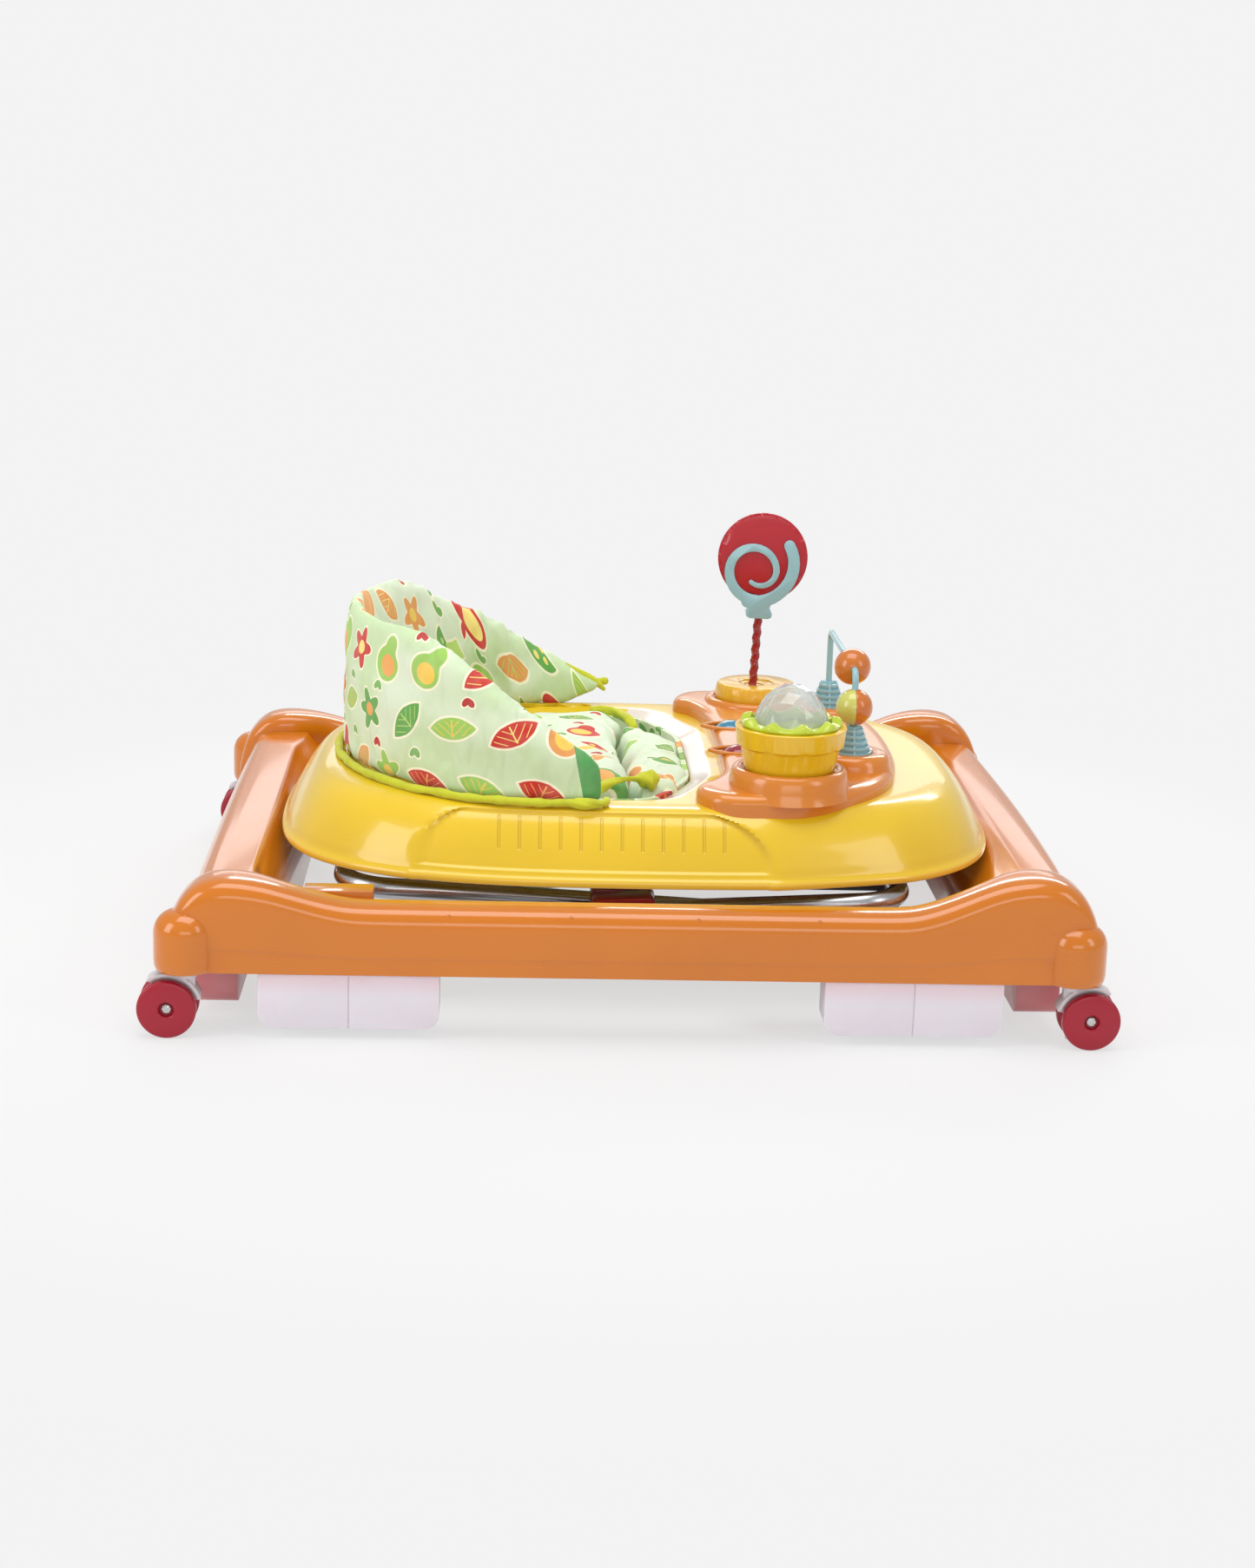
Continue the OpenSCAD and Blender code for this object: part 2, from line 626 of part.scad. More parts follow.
module saddle_block(z0, z1) {
  both_sides() translate([ax - saddle_l / 2, -saddle_y - saddle_w, z0]) cube([saddle_l, saddle_w, z1 - z0]);
}

module tray_shell() {
  color([0.93, 0.77, 0.15]) difference() {
    union() {
      difference() {
        tray_outer();
        tray_void();
      }
      loft([seat_ring(collar_t, tray_top - collar_depth), seat_ring(collar_t, tray_top - bevel_h - 3),
        seat_ring(bevel_w + collar_t, tray_top - tray_wall + 0.4)]);
      intersection() {
        saddle_block(high_z + seam_gap, tray_top);
        union() {
          tray_outer();
          saddle_block(high_z + seam_gap, tray_z + 2);
        }
      }
    }
    seat_hole(tray_top - collar_depth - cut, tray_top + cut);
    loft([seat_ring(0.2, tray_top - bevel_h), seat_ring(bevel_w, tray_top + 0.2)]);
    translate([ax, tray_b, high_z]) rotate([90, 0, 0]) cylinder(h = tray_w, r = tube_r + run_gap);
  }
}

// Lower halves of the bearings round the inner frame's rear cross tube
module tray_saddles() {
  color([0.93, 0.77, 0.15]) difference() {
    saddle_block(high_z - tube_r - 4, high_z - seam_gap);
    translate([ax, tray_b, high_z]) rotate([90, 0, 0]) cylinder(h = tray_w, r = tube_r + run_gap);
  }
}

// Slotted plates under the tray that the outer frame's front cross tube slides in
module tray_guides() {
  slot_r = tube_r + slide_gap;
  x0 = bx - slide_run - 2;
  color([0.3, 0.3, 0.32]) both_sides() translate([0, -guide_y, 0]) rotate([90, 0, 0]) difference() {
    linear_extrude(guide_t) polygon([
      [x0 - slot_r - 5, high_z - slot_r - 5], [bx + slot_r + 5, high_z - slot_r - 5],
      [bx + slot_r + 5, high_z + slot_r + 2], [bx - 6, tray_top - tray_wall - seam_gap],
      [x0 - slot_r - 5, tray_top - tray_wall - seam_gap]]);
    translate([0, high_z, -cut]) slot(x0, bx, slot_r, guide_t + 2 * cut);
    for (k = [1, 2, 3]) translate([bx - slide_run * (0.35 + 0.25 * k), high_z + slot_r + 16, -cut])
      cylinder(h = guide_t + 2 * cut, r = 9);
  }
}

// ---------------------------------------------------------------- toy console

console_front = tray_x + tray_a - 74;
console_half = toy_y + 46;
console_in = seat_front + bevel_w + 7;

// Crescent outline shrunk by g, counter-clockwise from the middle of the front
function console_ring(z, g) =
  let (n = 9, a = console_front - tray_x - 40 - g, b = console_half - g, wing = 17 - g)
  concat(
    [for (k = [-n : n]) let (t = k * 9.6) [tray_x + 40 + a * power(cos(t), 0.62), b * (t < 0 ? -1 : 1) * power(sin(abs(t)), 0.78), z]],
    [for (t = [100 : 20 : 240]) [console_in + 2 + (wing + 9) * cos(t), console_half - 36 + (wing + 17) * sin(t) * (t < 180 ? 1 : 0.7), z]],
    [for (y = [110, 70, 0, -70, -110]) [console_in + g + 3 - 3 * pow(y / 110, 2), y, z]],
    [for (t = [120 : 20 : 260]) [console_in + 2 + (wing + 9) * cos(t), -console_half + 36 + (wing + 17) * sin(t) * (t > 180 ? 1 : 0.7), z]]
  );

module console_collar(y, top) {
  h = top - tray_top;
  translate([toy_x, y, tray_top]) rotate_extrude() polygon(concat([[0, 0], [46, 0], [44, h * 0.4]],
    [for (a = [0 : 18 : 90]) [38 + 3 * cos(a), h - 4 + 4 * sin(a)]], [[0, h]]));
}

module arch_mount(y) {
  translate([arch_x, y, tray_top]) rotate_extrude() polygon(concat([[0, 0], [31, 0], [30, 8]],
    [for (a = [0 : 18 : 90]) [24 + 4 * cos(a), 19 + 4 * sin(a)]], [[0, 23]]));
}

button_x = 91;
button_y = 45;
button_r = 12;
eye_r = 27;

// Pointed-oval recess that a button sits in
module eye(z, h) {
  translate([button_x, 0, z]) linear_extrude(h) intersection() {
    translate([0, 15]) circle(eye_r);
    translate([0, -15]) circle(eye_r);
  }
}

module toy_console() {
  color([0.87, 0.51, 0.2]) difference() {
    union() {
      loft([console_ring(tray_top - 16, 0.6), console_ring(tray_top + 5, 0), console_ring(tray_top + 9, 1.5),
        console_ring(console_z - 0.8, 5), console_ring(console_z, 10)], hub = [150, 0]);
      console_collar(-toy_y, toy_base);
      console_collar(toy_y, lolly_base);
      for (sy = [-1, 1]) {
        arch_mount(sy * arch_half);
        translate([0, sy * button_y, 0]) eye(tray_top + 4, 10);
      }
    }
    tray_outer(seam_gap);
    translate([toy_x, -toy_y, toy_base - 2]) cylinder(h = 4, r = 36);
    translate([toy_x, -toy_y, tray_top]) cylinder(h = 30, r = cup_pin_r + run_gap);
    translate([toy_x, toy_y, lolly_base - 2]) cylinder(h = 4, r = 36);
    for (sy = [-1, 1]) {
      translate([arch_x, sy * arch_half, tray_top + 21]) cylinder(h = 4, r = 15.4);
      translate([0, sy * button_y, 0]) {
        intersection() {
          eye(tray_top + 9, 10);
          translate([button_x, 0, 0]) cylinder(h = 200, r = eye_r - 3);
        }
        translate([button_x, 0, tray_top + 1]) cylinder(h = 20, r = button_r + slide_gap);
      }
    }
  }
}

// Push button: round plunger with a cut-gem cap
module push_button(sy, tint) {
  base = tray_top + 2 + button_travel;
  color(tint) translate([button_x, sy * button_y, base]) {
    cylinder(h = 6, r = button_r);
    translate([0, 0, 6]) cylinder(h = 3, r1 = button_r, r2 = 8, $fn = 8);
    translate([0, 0, 9]) cylinder(h = 1.6, r1 = 8, r2 = 4, $fn = 8);
  }
}

// ---------------------------------------------------------------- ice cream cup rattle

cup_base = toy_base - 2 + slide_gap;
cup_pin_r = 5;
cup_foot_r = cup_r - 7.5;
cup_top = cup_base + cup_h;
waves = 9;

module rattle_cup() {
  band = cup_h * 0.48;
  color([0.9, 0.71, 0.15]) translate([toy_x, -toy_y, cup_base]) difference() {
    union() {
      rotate_extrude() polygon([[0, 0], [cup_foot_r - 1, 0], [cup_foot_r, 1],
        [cup_r - 3, cup_h - 6], [cup_r - 3, cup_h], [0, cup_h]]);
      difference() {
        translate([0, 0, cup_h - band]) rotate_extrude()
          polygon([[0, 0], [cup_r - 4, 0], [cup_r - 1.6, 2], [cup_r - 0.4, band - 2], [cup_r, band - 0.6], [cup_r - 0.6, band], [0, band]]);
        for (k = [0 : waves - 1]) rotate([0, 0, k * 360 / waves]) translate([cup_r - 14, 0, cup_h - band - 7])
          rotate([0, 90, 0]) cylinder(h = 16, r = 9.5);
      }
      translate([0, 0, -16]) cylinder(h = 18, r = cup_pin_r);
    }
    translate([0, 0, 3]) rotate_extrude() polygon([[0, 0], [cup_foot_r - 3, 0], [cup_r - 5.5, cup_h - 13], [cup_r - 5.5, cup_h], [0, cup_h]]);
  }
}

// Section of the icing at the angle t: a wavy crest between the cup's rim and the dome
function icing_ring(t) =
  let (crest = 14.5 + 2.2 * cos(waves * t) + 0.8 * cos(2 * waves * t), lip = cup_r - 3.6 + 1.2 * cos(waves * t))
  [for (q = [[dome_r + 0.1, 0], [cup_r - 5.7, 0], [cup_r - 5.7, 9.3], [lip, 10.4], [lip - 1.6, crest - 1.5], [dome_r + 1.2, crest], [dome_r + 0.1, crest - 1]])
    [q[0] * cos(t), q[0] * sin(t), q[1]]];

// Ring of icing that holds the dome: sections joined round into a closed band
module cup_icing_rim() {
  n = 6 * waves;
  rings = [for (k = [0 : n - 1]) icing_ring(k * 360 / n)];
  m = len(rings[0]);
  color([0.76, 0.84, 0.25]) translate([toy_x, -toy_y, cup_top - 9]) polyhedron(
    [for (r = rings) for (p = r) p],
    [for (k = [0 : n - 1]) for (j = [0 : m - 1])
      let (a = k * m + j, b = k * m + (j + 1) % m, c = ((k + 1) % n) * m + (j + 1) % m, d = ((k + 1) % n) * m + j)
        each [[a, b, c], [a, c, d]]], convexity = 6);
}

module cup_dome() {
  h0 = 9;
  color([0.9, 0.92, 0.92, 0.5]) translate([toy_x, -toy_y, cup_top - 9]) rotate_extrude() polygon(concat(
    [[dome_r - 1.6, 0], [dome_r, 0]],
    [for (a = [0 : 10 : 90]) [dome_r * cos(a), h0 + (dome_r + 2) * sin(a)]],
    [for (a = [90 : -15 : 0]) [(dome_r - 1.6) * cos(a), h0 + (dome_r + 0.4) * sin(a)]]));
}

module rattle_beads() {
  r = 5;
  color([0.35, 0.6, 0.8]) translate([toy_x, -toy_y, cup_base + 3 + r + 0.02]) {
    for (k = [0 : 5]) rotate([0, 0, k * 60 + 10]) translate([17, 0, 0]) sphere(r, $fn = 24);
    for (k = [0 : 2]) rotate([0, 0, k * 120]) translate([6.2, 0, 0]) sphere(r, $fn = 24);
  }
}

// ---------------------------------------------------------------- lollipop

ring_h = 14;
ring_base = lolly_base - 2 + seam_gap;
pivot_z = ring_base + 7.5;
lolly_x = toy_x - 3;
stem_rr = 4;
ball_joint_r = 5.2;
neck_top = 3.8;
neck_drop = 13.4;

module lollipop_ring() {
  color([0.93, 0.72, 0.2]) translate([toy_x, toy_y, ring_base]) difference() {
    rotate_extrude() polygon([[0, 0], [35, 0], [35, 5], [33.5, ring_h - 2], [32, ring_h], [15, ring_h], [13.4, ring_h - 2], [0, ring_h - 2]]);
    translate([lolly_x - toy_x, 0, pivot_z - ring_base + 3]) cylinder(h = ring_h, r = 9);
    translate([lolly_x - toy_x, 0, pivot_z - ring_base - ball_joint_r - slide_gap])
      cylinder(h = ring_h, r = ball_joint_r + slide_gap);
  }
}

module lolly_place() translate([lolly_x, toy_y, pivot_z]) rotate([0, lolly_lean, 0]) children();

// Three-lobed rod, twisted like barley sugar
module lollipop_stem() {
  top = lolly_h - lolly_r - neck_drop - seam_gap;
  turn = 360 / 30;
  color([0.68, 0.1, 0.16]) lolly_place() {
    sphere(ball_joint_r);
    loft([for (z = [0 : top / 20 : top])
      [for (k = [0 : 11]) let (r = stem_rr - 0.5 + 0.5 * cos(k * 90), a = k * 30 + turn * z) [r * cos(a), r * sin(a), z]]]);
  }
}

module lollipop_disc() {
  r = lolly_r;
  half = lolly_t / 2;
  color([0.73, 0.08, 0.18]) lolly_place() translate([0, 0, lolly_h]) rotate([90, 0, 0])
    difference() {
      rotate_extrude() polygon([[0, -half + 0.6], [r - 10, -half], [r - 2.5, -half + 0.8], [r, -half + 3], [r, half - 3],
        [r - 2.5, half - 0.8], [r - 10, half], [0, half]]);
      translate([-12, -r - 2, -half - 1]) cube([24, neck_top + 2 + seam_gap, lolly_t + 2]);
    }
}

// Band along an arc round the point c, its width going from w0 to w1, with round ends
module arc_band(c, r, a0, a1, w0, w1) {
  n = 14;
  function at(k, side) = let (t = k / n, a = a0 + (a1 - a0) * t, q = r + side * (w0 + (w1 - w0) * t) / 2)
    [c[0] + q * cos(a), c[1] + q * sin(a)];
  polygon(concat([for (k = [0 : n]) at(k, 1)], [for (k = [n : -1 : 0]) at(k, -1)]));
  translate(at(0, 0)) circle(w0 / 2, $fn = 20);
  translate(at(n, 0)) circle(w1 / 2, $fn = 20);
}

module lollipop_swirl() {
  k = lolly_r / 38;
  front = lolly_t / 2 + seam_gap;
  color([0.62, 0.79, 0.82]) lolly_place() {
    translate([0, -front, lolly_h]) rotate([90, 0, 0]) linear_extrude(2.2) scale(k) {
      arc_band([-1, -10.5], 12.8, -128, 2, 3.8, 5.4);
      arc_band([-8, -11], 20, 0, 180, 5.4, 8);
      arc_band([-3, -11], 25, 180, 268, 8, 9.5);
      arc_band([-6, -5], 32.4, 32, -98, 9.5, 11);
    }
    translate([0, 0, lolly_h - lolly_r]) rotate([90, 0, 0]) linear_extrude(2 * front + 4.4, center = true)
      polygon([[-11, neck_top], [11, neck_top], [8.6, -4], [11, -9], [10.6, -12], [8, -neck_drop],
        [-8, -neck_drop], [-10.6, -12], [-11, -9], [-8.6, -4]]);
  }
}

// ---------------------------------------------------------------- bead arch

foot_z = tray_top + 21 + seam_gap;
foot_h = 22;
arch_top = foot_z + foot_h + arch_h;
arch_bend = 8;

module arch_bar() {
  low = foot_z + 4;
  color([0.65, 0.8, 0.83]) translate([arch_x, 0, 0]) {
    both_sides() {
      translate([0, -arch_half, low]) cylinder(h = arch_top - arch_bend - low, r = bar_r);
      translate([0, -arch_half + arch_bend, arch_top - arch_bend]) rotate([0, -90, 0]) rotate([0, 0, 180])
        mirror([1, 0, 0]) rotate_extrude(angle = 90) translate([arch_bend, 0]) circle(bar_r);
    }
    translate([0, arch_half - arch_bend, arch_top]) rotate([90, 0, 0]) cylinder(h = 2 * (arch_half - arch_bend), r = bar_r);
  }
}

// Stepped cone of rings on a core, with four upright ribs
module arch_foot(y) {
  rings = 5;
  pitch = foot_h / rings;
  color([0.6, 0.78, 0.8]) translate([arch_x, y, foot_z]) difference() {
    union() {
      rotate_extrude() polygon(concat([[0, 0]], [for (k = [0 : rings - 1]) let (r = 15 - 1.75 * k, z = k * pitch)
        each [[r, z], [r, z + pitch * 0.5], [r - 3.4, z + pitch * 0.5], [r - 3.4, z + pitch]]], [[0, foot_h]]));
      for (a = [0, 90]) rotate([0, 0, a]) rotate([90, 0, 0]) linear_extrude(1.6, center = true)
        polygon([[-14.4, 0], [14.4, 0], [6.5, foot_h], [-6.5, foot_h]]);
    }
    translate([0, 0, 4]) cylinder(h = foot_h, r = bar_r + run_gap);
  }
}

ball_low_z = foot_z + foot_h + slide_gap + ball_r;
ball_top_y = -arch_half + arch_bend + ball_r + slide_gap;
bead_bore = bar_r + run_gap;

module orange_ball() color([0.85, 0.47, 0.2]) translate([arch_x, ball_top_y, arch_top]) difference() {
  sphere(ball_r);
  rotate([90, 0, 0]) cylinder(h = 3 * ball_r, r = bead_bore, center = true);
}

// Half of the two-colour ball, on the X+ or X- side
module half_ball(side) translate([arch_x, -arch_half, ball_low_z]) difference() {
  sphere(ball_r);
  cylinder(h = 3 * ball_r, r = bead_bore, center = true);
  translate([side > 0 ? -2 * ball_r : 0, -2 * ball_r, -2 * ball_r]) cube([2 * ball_r, 4 * ball_r, 4 * ball_r]);
}

module green_ball_half() color([0.8, 0.85, 0.4]) half_ball(-1);
module orange_ball_half() color([0.85, 0.47, 0.2]) half_ball(1);

// ---------------------------------------------------------------- seat

wing_x = -10;
back_x = -213;
wall_half = tray_b - wing_in;

// Stations round the U of the backrest: 0 at the right wing's tip, 1 at the left one's
function back_path(t) =
  let (a = 90 + 180 * t, cx = wing_x - 50, straight = 0.12, u = (t - straight) / (1 - 2 * straight))
  t < straight ? [wing_x - 50 * t / straight, -wall_half, 0, -1] :
  t > 1 - straight ? [wing_x - 50 * (1 - t) / straight, wall_half, 0, 1] :
  let (b = -90 - 180 * u, ex = cx - back_x) [cx + ex * cos(b), wall_half * sin(b), cos(b), sin(b)];

function back_top(x) =
  let (slope = 0.62, s = tray_top + 13 + slope * (wing_x - x), m = tray_top + back_h)
  min(m - 10 * smooth((back_x + 36 - x) / 36), s);

function back_ring(t) =
  let (p = back_path(t), n = [p[2], p[3]] / norm([p[2], p[3]]), z0 = tray_top + slide_gap, z1 = back_top(p[0]),
       half = pad_t / 2, lean = (z1 - z0) / back_h)
  [for (q = [[half - 3, 0], [half, 0.1], [half, 0.5], [half - 1, 0.88], [half * 0.5, 0.97], [0, 1],
             [-half * 0.5, 0.97], [-half + 1, 0.88], [-half, 0.5], [-half, 0.1], [-half + 3, 0]])
    let (o = q[0] + lean * q[1]) [p[0] + n[0] * o, p[1] + n[1] * o, z0 + (z1 - z0) * q[1]]];

module seat_backrest() color([0.8, 0.89, 0.72]) loft([for (k = [0 : 28]) back_ring(k / 28)]);

bucket_side = [[0, 0.3], [0.17, 0.3], [0.3, 6], [0.5, 16], [0.72, 34], [0.88, 56], [1, 82]];

function bucket_ring(s, t) = [for (p = seat_ring(-s[1] - t, tray_top - 4 - bucket_h * s[0] + (s[0] > 0.99 ? t : 0)))
  [p[0] - 17 * max(0, s[0] - bucket_side[1][0]), p[1], p[2]]];

module seat_bucket() {
  color([0.8, 0.89, 0.72]) difference() {
    loft([for (k = [len(bucket_side) - 1 : -1 : 0]) bucket_ring(bucket_side[k], 0)]);
    loft(concat([for (k = [len(bucket_side) - 1 : -1 : 0]) bucket_ring(bucket_side[k], bucket_t)],
      [seat_ring(-0.3 - bucket_t, tray_top)]));
    for (sy = [-1, 1]) translate([seat_front - 91, sy * (leg_r + 24), tray_top - 31]) rotate([0, 130, 0])
      cylinder(h = 130, r = leg_r);
  }
}

// ---------------------------------------------------------------- draw

right_side_rail();
left_side_rail();
front_cross_rail();
rear_cross_rail();
side_stop(1, -1);  // right_front_stop
side_stop(-1, -1);  // right_rear_stop
side_stop(1, 1);  // left_front_stop
side_stop(-1, 1);  // left_rear_stop
end_stop(1, -1);  // front_right_stop
end_stop(1, 1);  // front_left_stop
end_stop(-1, -1);  // rear_right_stop
end_stop(-1, 1);  // rear_left_stop
right_pivot_bracket();
left_pivot_bracket();
right_slide_track();
left_slide_track();
base_pivot_pins();
at_corner(corners[0]) caster();  // front_right_caster
at_corner(corners[1]) caster();  // front_left_caster
at_corner(corners[2]) caster();  // rear_right_caster
at_corner(corners[3]) caster();  // rear_left_caster
at_corner(corners[0]) twin_wheels();  // front_right_wheels
at_corner(corners[1]) twin_wheels();  // front_left_wheels
at_corner(corners[2]) twin_wheels();  // rear_right_wheels
at_corner(corners[3]) twin_wheels();  // rear_left_wheels
at_corner(corners[0]) wheel_axle();  // front_right_axle
at_corner(corners[1]) wheel_axle();  // front_left_axle
at_corner(corners[2]) wheel_axle();  // rear_right_axle
at_corner(corners[3]) wheel_axle();  // rear_left_axle
outer_frame_tube();
outer_hinge_blocks();
hinge_rivets();
inner_frame_tube();
inner_hinge_blocks();
slide_rod();
track_rollers();
tray_shell();
tray_saddles();
tray_guides();
toy_console();
lollipop_ring();
arch_bar();
arch_foot(-arch_half);  // right_arch_foot
arch_foot(arch_half);  // left_arch_foot
seat_backrest();
seat_bucket();
rattle_cup();
cup_icing_rim();
cup_dome();
rattle_beads();
lollipop_stem();
lollipop_disc();
lollipop_swirl();
push_button(1, [0.33, 0.6, 0.7]);  // blue_button
push_button(-1, [0.65, 0.15, 0.25]);  // red_button
orange_ball();
green_ball_half();
orange_ball_half();
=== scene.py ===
import json
from contextlib import contextmanager
from math import atan2, cos, hypot, pi, radians, sin, sqrt

import bmesh
import bpy
from mathutils import Matrix, Vector


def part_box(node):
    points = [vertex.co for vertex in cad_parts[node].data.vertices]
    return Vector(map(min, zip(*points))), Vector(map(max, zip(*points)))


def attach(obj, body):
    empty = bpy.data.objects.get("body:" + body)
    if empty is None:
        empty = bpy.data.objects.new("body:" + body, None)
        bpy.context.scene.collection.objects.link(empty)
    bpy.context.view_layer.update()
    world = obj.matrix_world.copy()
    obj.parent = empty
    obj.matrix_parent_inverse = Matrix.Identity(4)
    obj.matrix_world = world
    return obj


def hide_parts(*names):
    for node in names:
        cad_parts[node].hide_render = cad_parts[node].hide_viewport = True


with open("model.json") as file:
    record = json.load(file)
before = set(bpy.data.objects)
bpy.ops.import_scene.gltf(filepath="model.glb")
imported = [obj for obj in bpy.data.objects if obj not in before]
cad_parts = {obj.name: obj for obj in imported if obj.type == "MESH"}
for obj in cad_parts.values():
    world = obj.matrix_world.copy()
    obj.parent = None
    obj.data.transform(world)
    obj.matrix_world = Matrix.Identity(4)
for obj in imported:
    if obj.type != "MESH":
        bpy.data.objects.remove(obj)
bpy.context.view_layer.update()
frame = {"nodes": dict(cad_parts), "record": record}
bodyOf = {node: body for body, nodes in frame["record"]["behaviour"]["bodies"].items() for node in nodes}
mm = 0.001


# selecting and shaping

def take(*pieces):
    bpy.ops.object.select_all(action="DESELECT")
    for piece in pieces:
        piece.select_set(True)
    bpy.context.view_layer.objects.active = pieces[0]


@contextmanager
def editing(piece, mode="VERT", chosen="DESELECT"):
    take(piece)
    bpy.ops.object.mode_set(mode="EDIT")
    bpy.ops.mesh.select_mode(type=mode)
    bpy.ops.mesh.select_all(action=chosen)
    yield
    bpy.ops.object.mode_set(mode="OBJECT")


def called(name):  # the piece that the last operator made, with its name
    piece = bpy.context.object
    piece.name = piece.data.name = name
    return piece


def pick(kind, rule):  # selects what the rule is true for: kind is verts, edges or faces
    mesh = bpy.context.object.data
    shape = bmesh.from_edit_mesh(mesh)
    found = 0
    for part in getattr(shape, kind):
        chosen = bool(rule(part))
        part.select_set(chosen)
        found += chosen
    shape.select_flush_mode()
    bmesh.update_edit_mesh(mesh)
    return found


def middle(part):
    return sum((v.co for v in part.verts), Vector()) / len(part.verts)


def placeLoop(loop, points):
    mesh = bpy.context.object.data
    shape = bmesh.from_edit_mesh(mesh)
    shape.verts.ensure_lookup_table()
    for index, point in zip(loop, points):
        shape.verts[index].co = Vector(point) * mm
    bmesh.update_edit_mesh(mesh)


def growLoop(loop, points):  # extrudes the selected loop and puts the new one on the next section
    bpy.ops.mesh.extrude_region_move()
    shape = bmesh.from_edit_mesh(bpy.context.object.data)
    shape.verts.ensure_lookup_table()
    fresh = []
    for index in loop:
        old = shape.verts[index]
        fresh.append(next(e.other_vert(old).index for e in old.link_edges if e.other_vert(old).select))
    placeLoop(fresh, points)
    return fresh


def closeEnd(loop, end):  # an end is filled flat, drawn to a point, or left open
    if end == "open":
        return
    pick("verts", lambda v: v.index in loop)
    if end == "point":
        bpy.ops.mesh.merge(type="CENTER")
    else:
        bpy.ops.mesh.edge_face_add()


def skin(name, sections, first="fill", last="fill"):  # a surface over closed sections, in millimetres
    count = len(sections[0])
    bpy.ops.object.select_all(action="DESELECT")
    bpy.ops.mesh.primitive_circle_add(vertices=count, radius=0.01)
    piece = called(name)
    with editing(piece, chosen="SELECT"):
        start = loop = list(range(count))
        placeLoop(loop, sections[0])
        for section in sections[1:]:
            loop = growLoop(loop, section)
        closeEnd(set(loop), last)
        if first == "ring":  # the sections go round and meet
            pick("verts", lambda v: v.index in set(start) | set(loop))
            bpy.ops.mesh.bridge_edge_loops()
        else:
            closeEnd(set(start), first)
        bpy.ops.mesh.select_all(action="SELECT")
        bpy.ops.mesh.remove_doubles(threshold=1e-6)
        bpy.ops.mesh.normals_make_consistent(inside=False)
    return piece


def ringOf(x, y, z, radius, sides):
    turns = [k * 2 * pi / sides for k in range(sides)]
    return [(x + radius * cos(a), y + radius * sin(a), z) for a in turns]


def turned(name, centre, profile, sides=64):  # a profile of (radius, height) turned round an upright axis
    x, y, z = centre
    ends = ["point" if r < 0.01 else "fill" for r, _ in (profile[0], profile[-1])]
    sections = [ringOf(x, y, z + h, max(r, 0.002), sides) for r, h in profile]
    return skin(name, sections, *ends)


def tubeAlong(name, path, radius, sides=12, lobes=0, twist=0.0, closed=False):  # radius may be a rule
    lobeDepth = 0.13
    points = [Vector(p) for p in path]
    count = len(points)
    sections, side = [], None
    for k, point in enumerate(points):
        before = points[k - 1] if k or closed else points[0]
        after = points[(k + 1) % count] if k + 1 < count or closed else points[-1]
        along = (after - before).normalized()
        side = Vector((0.3, 0.2, 1)) if side is None else side
        side = (side - along * side.dot(along)).normalized()
        other = along.cross(side)
        size = radius(k / (count - 1)) if callable(radius) else radius
        ring = []
        for j in range(sides):
            a = j * 2 * pi / sides
            r = size * (1 + lobeDepth * cos(lobes * a)) if lobes else size
            b = a + twist * k
            ring.append(point + side * r * cos(b) + other * r * sin(b))
        sections.append(ring)
    return skin(name, sections, "ring" if closed else "fill", "open" if closed else "fill")


def block(name, low, high, rounding):  # a box between two corners with its edges cut off
    size = [b - a for a, b in zip(low, high)]
    bpy.ops.object.select_all(action="DESELECT")
    bpy.ops.mesh.primitive_cube_add(size=1)
    piece = called(name)
    with editing(piece, chosen="SELECT"):
        bpy.ops.transform.resize(value=[s * mm for s in size], center_override=(0, 0, 0))
        bpy.ops.transform.translate(value=[(a + b) / 2 * mm for a, b in zip(low, high)])
        bpy.ops.mesh.bevel(offset=rounding * mm, segments=1, affect="EDGES")
    return piece


def modify(piece, kind, **settings):
    modifier = piece.modifiers.new(kind.title(), kind)
    for key, value in settings.items():
        setattr(modifier, key, value)
    take(piece)
    bpy.ops.object.modifier_apply(modifier=modifier.name)
    return piece


def soften(piece, levels=2):
    return modify(piece, "SUBSURF", levels=levels, render_levels=levels)


def thicken(piece, wall):  # a shell grows inwards
    return modify(piece, "SOLIDIFY", thickness=wall * mm, offset=-1)


def cutAway(piece, cutter):
    modify(piece, "BOOLEAN", object=cutter, operation="DIFFERENCE", solver="EXACT")
    bpy.data.objects.remove(cutter)


def shade(piece, angle=40):
    take(piece)
    bpy.ops.object.shade_smooth_by_angle(angle=radians(angle))
    return piece


def openBelow(piece, height):  # takes away the faces that look down at the foot of a shell
    with editing(piece, "FACE"):
        pick("faces", lambda f: f.normal.z < -0.8 and middle(f).z < height * mm)
        bpy.ops.mesh.delete(type="FACE")
    return piece


def joined(name, *pieces):
    take(*pieces)
    bpy.ops.object.join()
    pieces[0].name = pieces[0].data.name = name
    return pieces[0]


def mirrored(piece, name):  # a copy with its own mesh on the walker's other side
    take(piece)
    bpy.ops.object.duplicate()
    other = called(name)
    with editing(other, chosen="SELECT"):
        bpy.ops.transform.resize(value=(1, -1, 1), center_override=(0, 0, 0))
        bpy.ops.mesh.flip_normals()
    return other


